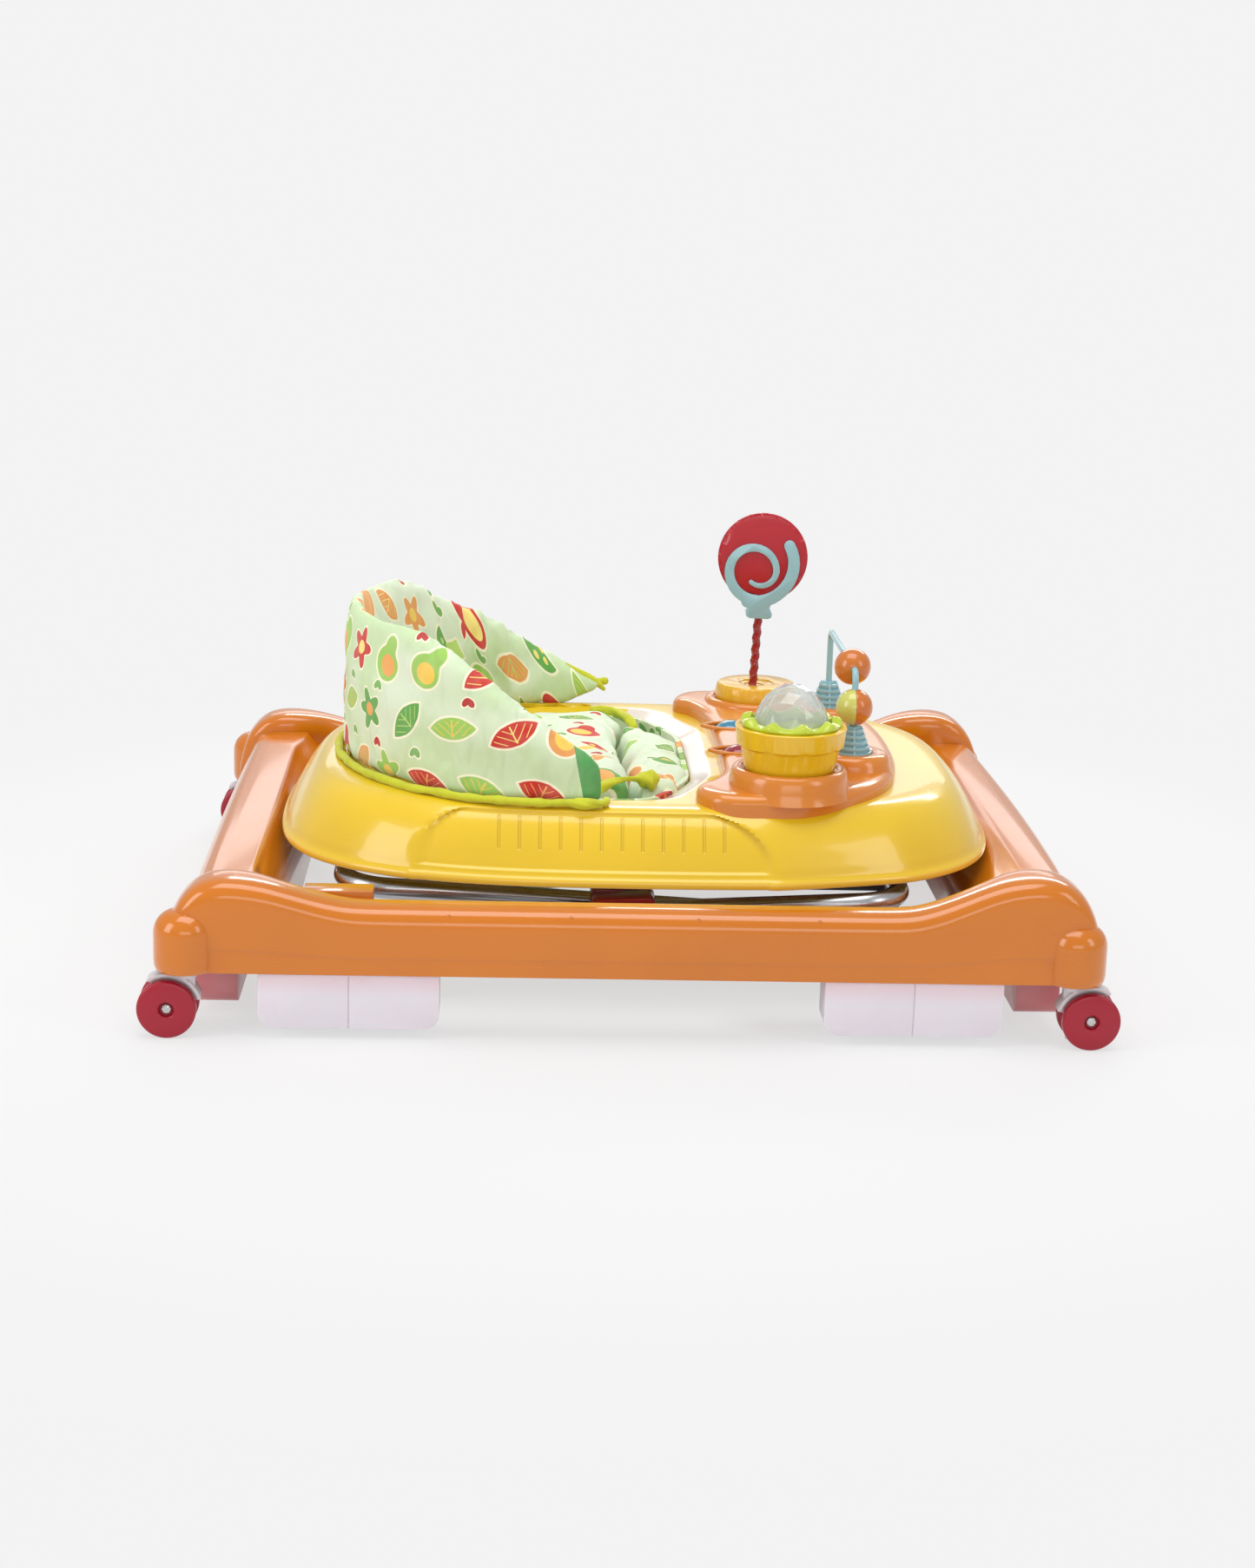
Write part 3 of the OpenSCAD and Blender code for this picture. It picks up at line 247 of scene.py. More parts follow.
def refined(node, rounding):  # a copy of a CAD part with its edges rounded
    take(frame["nodes"][node])
    bpy.ops.object.duplicate()
    piece = called(node + "Looks")
    piece.parent = None
    piece.matrix_world = Matrix.Identity(4)
    for key in list(piece.keys()):
        del piece[key]
    with editing(piece, chosen="SELECT"):
        bpy.ops.mesh.remove_doubles(threshold=2e-6)
        bpy.ops.mesh.dissolve_limited(angle_limit=radians(1.5))
    if rounding:
        modify(piece, "BEVEL", width=rounding * mm, segments=2, limit_method="ANGLE", angle_limit=radians(30),
               harden_normals=False, use_clamp_overlap=True)
    return shade(piece)


def fit(piece, body, slotName, material, *nodes):  # its body, its finish and the CAD parts it stands for
    piece.data.materials.clear()
    piece.data.materials.append(material)
    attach(piece, body)
    if nodes:
        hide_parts(*nodes)
    return piece


# shader maths

def linear(value):  # a screen value from 0 to 255 as an amount of light
    value = value / 255
    return value / 12.92 if value <= 0.04045 else ((value + 0.055) / 1.055) ** 2.4


def colour(red, green, blue):
    return tuple(linear(value) for value in (red, green, blue))


class Wire:  # one socket, with arithmetic
    def __init__(self, finish, socket):
        self.finish, self.socket = finish, socket

    def maths(self, operation, *values):
        return self.finish.node("Math", {"operation": operation}, dict(enumerate(values)))

    def rise(self, low, high):  # 0 below low, 1 above high, smooth between; falls when low is above high
        return self.finish.node("MapRange", {"interpolation_type": "SMOOTHSTEP"},
                                {"Value": self, "From Min": low, "From Max": high})


plainMaths = {
    "__add__": "ADD", "__sub__": "SUBTRACT", "__mul__": "MULTIPLY", "__truediv__": "DIVIDE",
    "__lt__": "LESS_THAN", "__gt__": "GREATER_THAN", "__abs__": "ABSOLUTE", "smaller": "MINIMUM",
    "larger": "MAXIMUM", "sine": "SINE", "cosine": "COSINE", "floor": "FLOOR", "fraction": "FRACT",
    "root": "SQRT", "angleTo": "ARCTAN2",
}
for name, operation in plainMaths.items():
    setattr(Wire, name, lambda self, *others, kind=operation: self.maths(kind, self, *others))
for name, operation in {"__radd__": "ADD", "__rsub__": "SUBTRACT", "__rmul__": "MULTIPLY"}.items():
    setattr(Wire, name, lambda self, other, kind=operation: self.maths(kind, other, self))


class Finish:  # one material and its nodes
    def __init__(self, name, **sockets):
        self.material = bpy.data.materials.new(name)
        self.material.use_nodes = True
        self.tree = self.material.node_tree
        self.tree.nodes.clear()
        self.shader = self.tree.nodes.new("ShaderNodeBsdfPrincipled")
        self.end = self.tree.nodes.new("ShaderNodeOutputMaterial")
        self.tree.links.new(self.shader.outputs[0], self.end.inputs["Surface"])
        self.place = Wire(self, self.tree.nodes.new("ShaderNodeTexCoord").outputs["Object"])
        self.put(**sockets)

    def feed(self, socket, value):
        if isinstance(value, Wire):
            self.tree.links.new(value.socket, socket)
        elif socket.type == "RGBA" and len(value) == 3:
            socket.default_value = (*value, 1)
        else:
            socket.default_value = value

    def node(self, kind, settings=None, sockets=None, out=0):
        made = self.tree.nodes.new("ShaderNode" + kind)
        for key, value in (settings or {}).items():
            if key == "stops":
                while len(made.color_ramp.elements) < len(value):
                    made.color_ramp.elements.new(0.5)
                for element, (at, tone) in zip(made.color_ramp.elements, value):
                    element.position, element.color = at, (*tone, 1)
            else:
                setattr(made, key, value)
        for key, value in (sockets or {}).items():
            self.feed(made.inputs[key], value)
        return Wire(self, made.outputs[out])

    def put(self, **sockets):  # a socket's name has _ for each space
        for key, value in sockets.items():
            self.feed(self.shader.inputs[key.replace("_", " ")], value)
        return self

    def axes(self, source=None):
        split = self.tree.nodes.new("ShaderNodeSeparateXYZ")
        self.tree.links.new((source or self.place).socket, split.inputs[0])
        return [Wire(self, split.outputs[k]) for k in range(3)]

    def vector(self, x, y):
        return self.node("CombineXYZ", {}, {0: x, 1: y})

    def stretched(self, scale, turn=(0, 0, 0)):  # places drawn out one way
        return self.node("Mapping", {}, {"Vector": self.place, "Scale": scale, "Rotation": turn})

    def noise(self, scale, detail=3.0, rough=0.5, source=None):
        sockets = {"Vector": source or self.place, "Scale": scale, "Detail": detail, "Roughness": rough}
        return self.node("TexNoise", {}, sockets)

    def blendColours(self, share, first, second):
        settings = {"data_type": "RGBA", "blend_type": "MIX"}
        return self.node("Mix", settings, {0: share, 6: first, 7: second}, out=2)

    def bump(self, height, depth, strength=1.0, under=None):
        sockets = {"Height": height, "Distance": depth * mm, "Strength": strength}
        if under:
            sockets["Normal"] = under
        return self.node("Bump", {}, sockets)


print("frame loaded:", len(frame["nodes"]), "parts")


# camera, floor and light

studio = {
    "lens": 63.4, "distance": 2.2286, "azimuth": -2.6, "elevation": 13.6, "roll": 1.63,
    "target": (0.0055, 0, 0.1183), "aim": (0, 0, 0.15), "world": 0.56,
    "background": colour(243, 243, 243), "floor": colour(240, 240, 241), "dimmed": 0.985,
    "shadowless": 0.7, "fade": (0.45, 0.95),
    "lamps": [  # name, place, size, power
        ("overhead", (-0.1, -0.3, 2.2), (1.7, 1.3), 22),
        ("windowLeft", (-2.0, -1.1, 1.15), (0.9, 1.5), 15),
        ("windowRight", (1.9, -1.5, 1.3), (0.7, 1.3), 8),
        ("frontStrip", (0.1, -2.6, 0.75), (1.7, 0.5), 6),
        ("backStrip", (0.5, 1.9, 1.3), (2.2, 0.35), 17),
        ("lowGlow", (0.1, 1.9, 0.6), (1.7, 0.15), 1.1),
    ],
}


def makeCamera():
    turn, lift, roll = (radians(studio[key]) for key in ("azimuth", "elevation", "roll"))
    back = Vector((sin(turn) * cos(lift), -cos(turn) * cos(lift), sin(lift)))
    right = Vector((cos(turn), sin(turn), 0))
    up = back.cross(right)
    across = right * cos(roll) + up * sin(roll)
    above = up * cos(roll) - right * sin(roll)
    bpy.ops.object.camera_add(location=Vector(studio["target"]) + back * studio["distance"])
    camera = bpy.context.object
    camera.name = "productCamera"
    camera.rotation_euler = Matrix((across, above, back)).transposed().to_euler()
    camera.data.lens = studio["lens"]
    camera.data.sensor_width = 36
    camera.data.clip_end = 60
    bpy.context.scene.camera = camera


def makeLamps():
    for name, place, (width, height), power in studio["lamps"]:
        bpy.ops.object.light_add(type="AREA", location=place)
        lamp = bpy.context.object
        lamp.name = name
        lamp.visible_camera = False
        lamp.data.shape, lamp.data.energy = "RECTANGLE", power
        lamp.data.size, lamp.data.size_y = width, height
        lamp.rotation_euler = (Vector(studio["aim"]) - Vector(place)).to_track_quat("-Z", "Y").to_euler()


def makeSky():
    world = bpy.data.worlds.new("studio")
    bpy.context.scene.world = world
    world.use_nodes = True
    tree = world.node_tree
    tree.nodes.clear()
    seen, lit, paths, mix, end = (tree.nodes.new("ShaderNode" + kind) for kind in
                                  ("Background", "Background", "LightPath", "MixShader", "OutputWorld"))
    seen.inputs["Color"].default_value = (*studio["background"], 1)
    lit.inputs["Color"].default_value = (1, 1, 1, 1)
    lit.inputs["Strength"].default_value = studio["world"]
    either = tree.nodes.new("ShaderNodeMath")
    either.operation = "MAXIMUM"
    tree.links.new(paths.outputs["Is Camera Ray"], either.inputs[0])
    tree.links.new(paths.outputs["Is Transmission Ray"], either.inputs[1])
    tree.links.new(either.outputs[0], mix.inputs[0])
    tree.links.new(lit.outputs[0], mix.inputs[1])
    tree.links.new(seen.outputs[0], mix.inputs[2])
    tree.links.new(mix.outputs[0], end.inputs["Surface"])


def makeFloor():
    bpy.ops.object.select_all(action="DESELECT")
    bpy.ops.mesh.primitive_plane_add(size=24, location=(0, 0, 0))
    floor = bpy.context.object
    floor.name = "floor"
    paper = Finish("paleFloor", Roughness=0.85, Specular_IOR_Level=0.15)
    pale = studio["floor"]
    dim = tuple(c * studio["dimmed"] for c in pale)
    paper.put(Base_Color=paper.blendColours(paper.noise(1.4), pale, dim))
    x, y, _ = paper.axes()
    camera, glossy, clear = (paper.node("LightPath", out="Is " + kind + " Ray")
                             for kind in ("Camera", "Glossy", "Transmission"))
    outside = (x * x + y * y).root().rise(*studio["fade"])
    lit = outside * (1 - studio["shadowless"]) + studio["shadowless"]
    seen = camera.larger(glossy).larger(clear) * lit
    glow = paper.node("Emission", {}, {"Color": studio["background"]})
    mixed = paper.node("MixShader", {}, {0: seen, 1: Wire(paper, paper.shader.outputs[0]), 2: glow})
    paper.tree.links.new(mixed.socket, paper.end.inputs["Surface"])
    floor.data.materials.append(paper.material)


makeCamera()
makeLamps()
makeSky()
makeFloor()
bpy.context.scene.view_settings.view_transform = "Standard"
print("studio ready")


# plastics, metal and rubber

plasticTones = {  # name: (red, green, blue, roughness, coat)
    "orangeShell": (218, 125, 36, 0.2, 0.6),
    "consoleOrange": (228, 140, 55, 0.22, 0.5),
    "ringYellow": (240, 186, 58, 0.24, 0.4),
    "cupYellow": (243, 199, 50, 0.22, 0.5),
    "limeIcing": (196, 214, 62, 0.24, 0.4),
    "paleBlue": (156, 199, 207, 0.26, 0.4),
    "candyRed": (188, 24, 48, 0.3, 0.3),
    "stemRed": (170, 27, 43, 0.22, 0.5),
    "ballOrange": (212, 122, 56, 0.2, 0.5),
    "ballGreen": (212, 211, 112, 0.2, 0.5),
    "buttonBlue": (70, 143, 176, 0.12, 0.7),
    "buttonRed": (158, 46, 60, 0.12, 0.7),
    "beadBlue": (60, 120, 180, 0.2, 0.4),
    "casterWhite": (232, 226, 229, 0.35, 0.2),
    "wheelCrimson": (172, 22, 54, 0.34, 0.2),
    "hingeRed": (142, 28, 30, 0.3, 0.3),
    "darkNylon": (52, 53, 58, 0.45, 0.1),
}


def scuffs(finish):  # fine scratches that run mostly one way
    long = finish.stretched((35, 35, 520), (0.3, 1.2, 0.4))
    return finish.noise(1.0, 2, 0.4, long).rise(0.62, 0.74) * finish.noise(14, 2).rise(0.5, 0.68)


def mouldedPlastic(name, tone=None):
    red, green, blue, rough, coat = tone or plasticTones[name]
    base = tuple(max(0.001, c * 0.93 - 0.016) for c in colour(red, green, blue))  # the coat adds white
    deep = tuple(c * 0.9 for c in base)
    finish = Finish(name, Coat_Weight=coat, Coat_Roughness=0.06, IOR=1.48)
    cloud = finish.noise(7, 3)
    flow = finish.noise(28, 4, 0.6)  # faint flow marks in the moulding
    marks = scuffs(finish)
    skinGrain = finish.noise(1400, 1)
    finish.put(
        Base_Color=finish.blendColours(cloud.rise(0.35, 0.68) * 0.8, base, deep),
        Roughness=rough + (flow - 0.5) * 0.1 + marks * 0.16,
        Normal=finish.bump(flow * 0.55 + skinGrain * 0.06 - marks * 0.05, 0.16, 0.5),
    )
    return finish


def metal(name, tone, rough):
    finish = Finish(name, Metallic=1.0)
    streak = finish.noise(1.0, 3, 0.6, finish.stretched((6, 420, 420)))
    cloud = finish.noise(30, 3)
    finish.put(
        Base_Color=finish.blendColours(cloud, colour(*tone), tuple(c * 0.8 for c in colour(*tone))),
        Roughness=rough + streak * 0.12 + cloud.rise(0.55, 0.75) * 0.1,
        Normal=finish.bump(streak, 0.03, 0.4),
    )
    return finish.material


finishes = {name: mouldedPlastic(name).material for name in plasticTones}
finishes["steel"] = metal("steel", (196, 197, 200), 0.22)
finishes["axleSteel"] = metal("axleSteel", (214, 212, 210), 0.18)


def trayYellow():
    finish = mouldedPlastic("trayYellow", (247, 208, 52, 0.25, 0.5))
    x, y, z = finish.axes()
    # the lip at the tray's foot is painted a lighter yellow, a painted highlight where it stands out
    lip = z.rise(0.0995, 0.0965)
    grooves = tray["grooves"]
    steps = (x - grooves["first"] * mm) / (grooves["pitch"] * mm) + 0.5
    stripe = abs(steps.fraction() - 0.5)
    inRow = (steps > 0) * (steps < grooves["count"])
    low, high, soft = grooves["low"], grooves["high"], grooves["soft"]
    band = z.rise((low - soft) * mm, (low + soft) * mm) * z.rise((high + soft) * mm, (high - soft) * mm)
    cut = stripe.rise(0.085, 0.045) * inRow * band * (abs(y) > 0.17)
    base = finish.shader.inputs["Base Color"].links[0].from_socket
    lit = finish.blendColours(lip, Wire(finish, base), colour(246, 202, 66))
    # the grooves are painted darker as painted shade in their recesses; the bump below presses them in
    finish.put(Base_Color=finish.blendColours(cut * 0.2, lit, colour(176, 128, 24)))
    under = Wire(finish, finish.shader.inputs["Normal"].links[0].from_socket)
    finish.put(Normal=finish.bump(1 - cut, 0.8, 0.8, under))
    return finish.material


def milkyPlastic(name, tone, reflectedTone, rough):  # cloudy plastic that lets some light through
    finish = Finish(name, Coat_Weight=0.25, Coat_Roughness=0.12, IOR=1.46, Subsurface_Weight=0.35,
                    Subsurface_Scale=0.006, Subsurface_Radius=(1.0, 0.7, 0.75))
    z = finish.axes()[2]
    cloud = finish.noise(26, 3)
    # towards their tops the stops are painted pinker, a painted reflection of the orange rails above; the
    # cloud adds tone at random
    reflectionAndCloud = z.rise(0.03, 0.046) * 0.75 + cloud.rise(0.5, 0.75) * 0.2
    finish.put(
        Base_Color=finish.blendColours(reflectionAndCloud, colour(*tone), colour(*reflectedTone)),
        Roughness=rough + cloud * 0.14,
        Normal=finish.bump(finish.noise(60, 3) + finish.noise(1500, 1) * 0.1, 0.25, 0.4),
    )
    return finish.material


finishes["stopWhite"] = milkyPlastic("stopWhite", (226, 220, 227), (222, 196, 202), 0.3)
# the end stops are the same part as the side stops; their pink copy of the material is painted shade and
# painted reflection of the orange rails
finishes["stopShadedPink"] = milkyPlastic("stopShadedPink", (240, 158, 162), (226, 128, 134), 0.32)


def clearShell():
    finish = Finish("clearShell", Transmission_Weight=0.8, IOR=1.25, Coat_Weight=0.5, Coat_Roughness=0.03)
    haze = finish.noise(40, 3)
    finish.put(
        Base_Color=finish.blendColours(haze.rise(0.4, 0.8), (0.93, 0.95, 0.96), (0.84, 0.88, 0.9)),
        Roughness=0.04 + haze * 0.06,
        Normal=finish.bump(haze, 0.1, 0.2),
    )
    return finish.material


finishes["clearShell"] = clearShell()


# base ring

base = {
    "foot": 48, "top": 97, "inner": 262, "outer": 300, "humpAt": 286, "humpStart": 190,
    "frontRise": 28, "rearRise": 18, "frontEnd": 337, "rearEnd": 332, "wall": 3,
    "stemX": 317, "stemY": 286, "podRadius": 22, "podTop": 91, "crossTop": 100, "ribTop": 70,
    "bend": 12, "sideBend": (246, 34), "crossBend": (196, 54), "ribHalf": 1.2, "ribRounding": 0.4,
    "front": {"foot": 248, "bandIn": 298, "bandOut": 320, "out": 338, "bow": 14},
    "rear": {"foot": 250, "bandIn": 277, "bandOut": 302, "out": 325, "bow": 3},
}


def smooth(t):
    t = min(1, max(0, t))
    return t * t * (3 - 2 * t)


def share(v, p):
    return 0 if v <= 0 else v ** p


def pastHump(x):
    return (abs(x) - base["humpAt"]) / (base["frontEnd" if x > 0 else "rearEnd"] - base["humpAt"])


def railTop(x):
    rise, t, full = base["frontRise" if x > 0 else "rearRise"], pastHump(x), base["top"] - base["foot"]
    if t > 0:
        return base["foot"] + (full + rise) * share(1 - share(t, 2.5), 0.4)
    return base["top"] + rise * smooth((abs(x) - base["humpStart"]) / (base["humpAt"] - base["humpStart"]))


def bendBy(place, span):  # how far the inner faces are drawn in, past the start of a span
    start, run = span
    return base["bend"] * smooth((abs(place) - start) / run)


def railInner(x):
    return base["inner"] - bendBy(x, base["sideBend"])


def sideRailSection(x):
    top, ends = railTop(x), 9 * share(pastHump(x), 3)
    inner, outer, foot = railInner(x) + ends, base["outer"] - ends, base["foot"]
    high = top - foot
    tight, wide, crease = min(9, high * 0.4), min(13, high * 0.5), foot + high * 0.26
    points = [(inner, foot), (inner, foot + 2), (inner, foot + high * 0.5), (inner, top - tight),
              (inner + tight * 0.3, top - tight * 0.3), (inner + tight, top),
              ((inner + outer) / 2, top + 0.2), (outer - wide, top), (outer - wide * 0.42, top - wide * 0.2),
              (outer - wide * 0.1, top - wide * 0.62), (outer, top - wide * 1.15),
              (outer, crease + high * 0.2), (outer, crease + 1.3), (outer - 0.5, crease + 0.2),
              (outer - 1.1, crease - 0.5), (outer - 1.3, crease - 2), (outer - 1.6, foot + 2),
              (outer - 2, foot)]
    return [(x, -y, z) for y, z in points]


def makeSideRail():
    humpAt, humpStart = base["humpAt"], base["humpStart"]
    curve = [share(sin(radians(a)), 0.8) for a in (0, 14, 27, 39, 50, 60, 69, 77, 83)]
    stations = [-humpAt - (base["rearEnd"] - humpAt) * s for s in reversed(curve)]
    stations += [-humpStart - 90 * k / 7 for k in range(6, -1, -1)] + [-150, -75, 0, 75, 150]
    stations += [humpStart + 90 * k / 7 for k in range(7)]
    stations += [humpAt + (base["frontEnd"] - humpAt) * s for s in curve]
    rail = skin("sideRail", [sideRailSection(x) for x in stations])
    openBelow(rail, base["foot"] + 0.5)
    soften(rail)
    thicken(rail, base["wall"])
    parts = [rail]
    r, h = base["podRadius"], base["podTop"] - base["foot"]
    arc = [(r - 15 + 15 * cos(radians(a)), h - 16 + 16 * sin(radians(a))) for a in range(0, 91, 9)]
    podProfile = [(r - 2.2, 0), (r - 1.2, 1.2), (r - 0.3, 4), (r, 8), (r, 18)] + arc + [(3, h), (0, h)]
    socketProfile = [(9, h - 4), (9, 1), (8.4, 0.4), (4.6, 0.4), (4.15, 1), (4.15, h - 4)]
    for end in (-1, 1):
        centre = (end * base["stemX"], -base["stemY"], base["foot"])
        pod = turned("pod", centre, podProfile, 56)
        openBelow(pod, base["foot"] + 0.5)
        thicken(pod, base["wall"])
        parts += [pod, turned("stemSocket", centre, socketProfile, 32)]
    for x in (-131, -45, 45, 131):
        low = (x - base["ribHalf"], -base["outer"] + 3, base["foot"] + 2)
        high = (x + base["ribHalf"], -base["inner"] - 1.5, base["top"] - 4)
        parts.append(block("stiffeningRib", low, high, base["ribRounding"]))
    return shade(joined("rightSideRail", *parts), 42)


def makeCrossRail(name, spec, end):  # end is 1 at the front and -1 at the rear
    slope = [(0, 0), (0.02, 0.05), (0.1, 0.25), (0.25, 0.47), (0.45, 0.64), (0.65, 0.76), (0.84, 0.86),
             (0.94, 0.95)]
    turns = [radians(a) for a in (74, 60, 46, 32, 18, 8, 2.5, 0)]
    fall = [(share(cos(a), 0.75), share(sin(a), 0.85)) for a in turns]
    reach, top, foot, band = base["inner"] - 12.1, base["crossTop"], base["foot"], spec["bandOut"]
    high = top - foot

    def section(y):
        bend = bendBy(y, base["crossBend"])
        inner, crest = spec["foot"] - bend, spec["bandIn"] - bend * 0.6
        out = spec["out"] - spec["bow"] * (y / 274) ** 2
        points = [(inner + (crest - inner) * s, foot + high * h) for s, h in slope]
        points += [(crest, top - 0.5), (crest + 2.5, top), ((crest + band) / 2, top + 0.3), (band - 2, top),
                   (band, top - 0.6)]
        points += [(band + (out - band) * s, foot + high * h) for s, h in fall]
        if abs(y) > reach - 1:  # the ends follow the side rails' inner faces
            side = 1 if y > 0 else -1
            return [(end * x, side * (railInner(x) - 0.1), z) for x, z in points]
        return [(end * x, y, z) for x, z in points]

    stations = [reach * sin(radians(k * 7.5)) for k in range(-12, 13)]
    rail = skin(name, [section(y) for y in stations])
    openBelow(rail, foot + 0.5)
    with editing(rail, "FACE"):  # the end walls are hidden behind the side rails
        pick("faces", lambda f: len(f.verts) > 8)
        bpy.ops.mesh.delete(type="FACE")
    soften(rail)
    thicken(rail, base["wall"])
    parts = [rail]
    near, out = sorted((end * (spec["foot"] + 22), end * (spec["out"] - 14)))
    for y in (-120, -40, 40, 120):
        low, high = (near, y - base["ribHalf"], foot + 2), (out, y + base["ribHalf"], base["ribTop"])
        parts.append(block("stiffeningRib", low, high, base["ribRounding"]))
    return shade(joined(name, *parts), 42)


rightRail = makeSideRail()
rails = {
    "right_side_rail": rightRail, "left_side_rail": mirrored(rightRail, "leftSideRail"),
    "front_cross_rail": makeCrossRail("frontCrossRail", base["front"], 1),
    "rear_cross_rail": makeCrossRail("rearCrossRail", base["rear"], -1),
}
for node, rail in rails.items():
    fit(rail, "base", "orange_plastic", finishes["orangeShell"], node)
print("base ring done")


# tray

tray = {
    "length": 560, "width": 450, "middle": 10, "lip": 93, "top": 146, "wall": 2.6,
    "seat": {"half": 150, "front": 51, "back": -205, "bevel": 15},
    "panel": {"depth": 4.5, "rear": -156, "front": 103, "narrow": (44, 60), "low": 106, "high": 144},
    "grooves": {"first": -97, "pitch": 15.1, "count": 12, "low": 117.5, "high": 139, "soft": 0.6},
}


def bothSides(half, z):  # a level outline from its half, which starts and ends on the middle line
    return [(x, y, z) for x, y in half] + [(x, -y, z) for x, y in reversed(half[1:-1])]


def trayOutline(inset, z):
    a, b = tray["length"] / 2 - inset, tray["width"] / 2 - inset
    front = [share(cos(radians(t)), 2 / 3) for t in (0, 9, 18, 26, 34, 42, 50, 56)]
    rear = [-share(cos(radians(t)), 2 / 3) for t in (50, 42, 34, 26, 18, 9, 0)]
    along = front + [(x - tray["middle"]) / (tray["length"] / 2) for x in range(118, -176, -14)] + rear
    return bothSides([(tray["middle"] + a * f, b * share(1 - abs(f) ** 3, 1 / 3)) for f in along], z)


def seatOutline(g, z):  # g is how far it runs outside the opening
    spec = tray["seat"]
    r, f, cx = spec["half"] + g, spec["front"] + g, spec["back"] + spec["half"]
    side = max(cx + 2, spec["front"] - 44 + min(g, 0) * 0.9)
    half = [(f, 0), (f, 35 + g * 0.2), (f, 80 + g * 0.4 - 9), (f - 4, 80 + g * 0.4 + 4),
            (spec["front"] - 24 + g * 0.8, r - 14), (spec["front"] - 36 + g * 0.6, r - 3), (side - 6, r)]
    half += [(cx + r * cos(radians(a)), r * sin(radians(a))) for a in range(90, 180, 9)]
    return bothSides(half + [(cx - r, 0)], z)


def panelDepth(x, z):  # how far a grip panel lies behind the tray's side
    spec = tray["panel"]
    t = min(1, max(0, (z - spec["low"]) / (spec["high"] - spec["low"])))
    bow = 1 - sqrt(1 - t * t)
    rear, front = spec["rear"] + spec["narrow"][0] * bow, spec["front"] - spec["narrow"][1] * bow
    inside = smooth((x - rear + 2) / 5) * smooth((front + 2 - x) / 5)
    lip = smooth((x - spec["rear"] + 2) / 4) * smooth((spec["front"] + 2 - x) / 4)
    high = smooth((spec["high"] - z) / 4)
    return spec["depth"] * inside * high if z > spec["low"] - 2 else 2.2 * lip


def makeTray():
    top = tray["top"]
    foot, tall = tray["lip"], top - tray["lip"]
    wall = [(0, 1.2), (0.012, 0.3), (0.04, 0), (0.085, 0.1), (0.115, 1.2), (0.14, 3), (0.2, 4.6), (0.27, 6),
            (0.36, 8.6), (0.46, 11.2), (0.56, 14.2), (0.66, 17.4), (0.76, 21), (0.86, 25.6), (0.93, 30),
            (0.975, 34.5), (0.995, 40), (1, 46), (1, 54)]
    shell = skin("trayShell", [trayOutline(inset, foot + tall * s) for s, inset in wall], "open", "open")
    with editing(shell, "EDGE"):
        pick("edges", lambda e: e.is_boundary and middle(e).z > (top - 1) * mm)
        bpy.ops.mesh.duplicate()
    bevel = tray["seat"]["bevel"]
    rim = [(bevel + 2.5, 0), (bevel + 1, 0), (bevel - 1, -0.4), (bevel * 0.5, -3.2), (1.4, -5.8), (0.5, -7),
           (0.2, -9), (0.2, -20), (1.2, -20.8), (3.2, -20.8), (3.6, -19)]
    collar = skin("seatCollar", [seatOutline(g, top + h) for g, h in rim], "open", "open")
    shell = joined("trayShell", shell, collar)
    with editing(shell, "EDGE", "SELECT"):
        bpy.ops.mesh.remove_doubles(threshold=1e-5)
        bpy.ops.mesh.select_all(action="DESELECT")
        pick("edges", lambda e: e.is_boundary and middle(e).z > (top - 0.5) * mm)
        bpy.ops.mesh.bridge_edge_loops()
        bpy.ops.mesh.select_all(action="SELECT")
        bpy.ops.mesh.normals_make_consistent(inside=False)
    soften(shell)
    for v in shell.data.vertices:  # the grip panels are pressed into the two sides
        x, y, z = (c / mm for c in v.co)
        if abs(y) > 165 and z < top - 1:
            v.co.y -= (1 if y > 0 else -1) * panelDepth(x, z) * mm
    thicken(shell, tray["wall"])
    return shade(shell, 50)


def within(x, y, outline):  # counts the sides that a line from the point crosses
    crossed = 0
    for a, b in zip(outline, outline[1:] + outline[:1]):
        if (a[1] > y) != (b[1] > y):
            crossed += x < a[0] + (b[0] - a[0]) * (y - a[1]) / (b[1] - a[1])
    return crossed % 2 == 1


def paintBevelReflection(shell, material):  # the bevel at the front of the seat opening is painted cream, a painted reflection of the bright studio on its glossy slope
    outer, inner = (seatOutline(g, 0) for g in (tray["seat"]["bevel"] + 1.6, 0.9))
    shell.data.materials.append(material)
    for face in shell.data.polygons:
        x, y, z = (c / mm for c in face.center)
        front = z > tray["top"] - 7.4 and face.normal.z > 0 and x > 8
        if front and within(x, y, outer) and not within(x, y, inner):
            face.material_index = 1


trayShell = makeTray()
finishes["trayYellow"] = trayYellow()
fit(trayShell, "tray", "yellow_plastic", finishes["trayYellow"], "tray_shell")
# the cream on the front bevel is a painted reflection
paintBevelReflection(trayShell, mouldedPlastic("bevelPaintedReflection", (246, 234, 222, 0.2, 0.5)).material)
print("tray done")


# toy console

console = {
    "floor": 146, "top": 158, "front": 216, "half": 196, "inner": 73, "toy": (120, 150), "cupSeat": 171,
    "lollySeat": 162, "archX": 175, "archY": 87, "button": (91, 45), "eye": 27, "eyeDrop": 15,
}


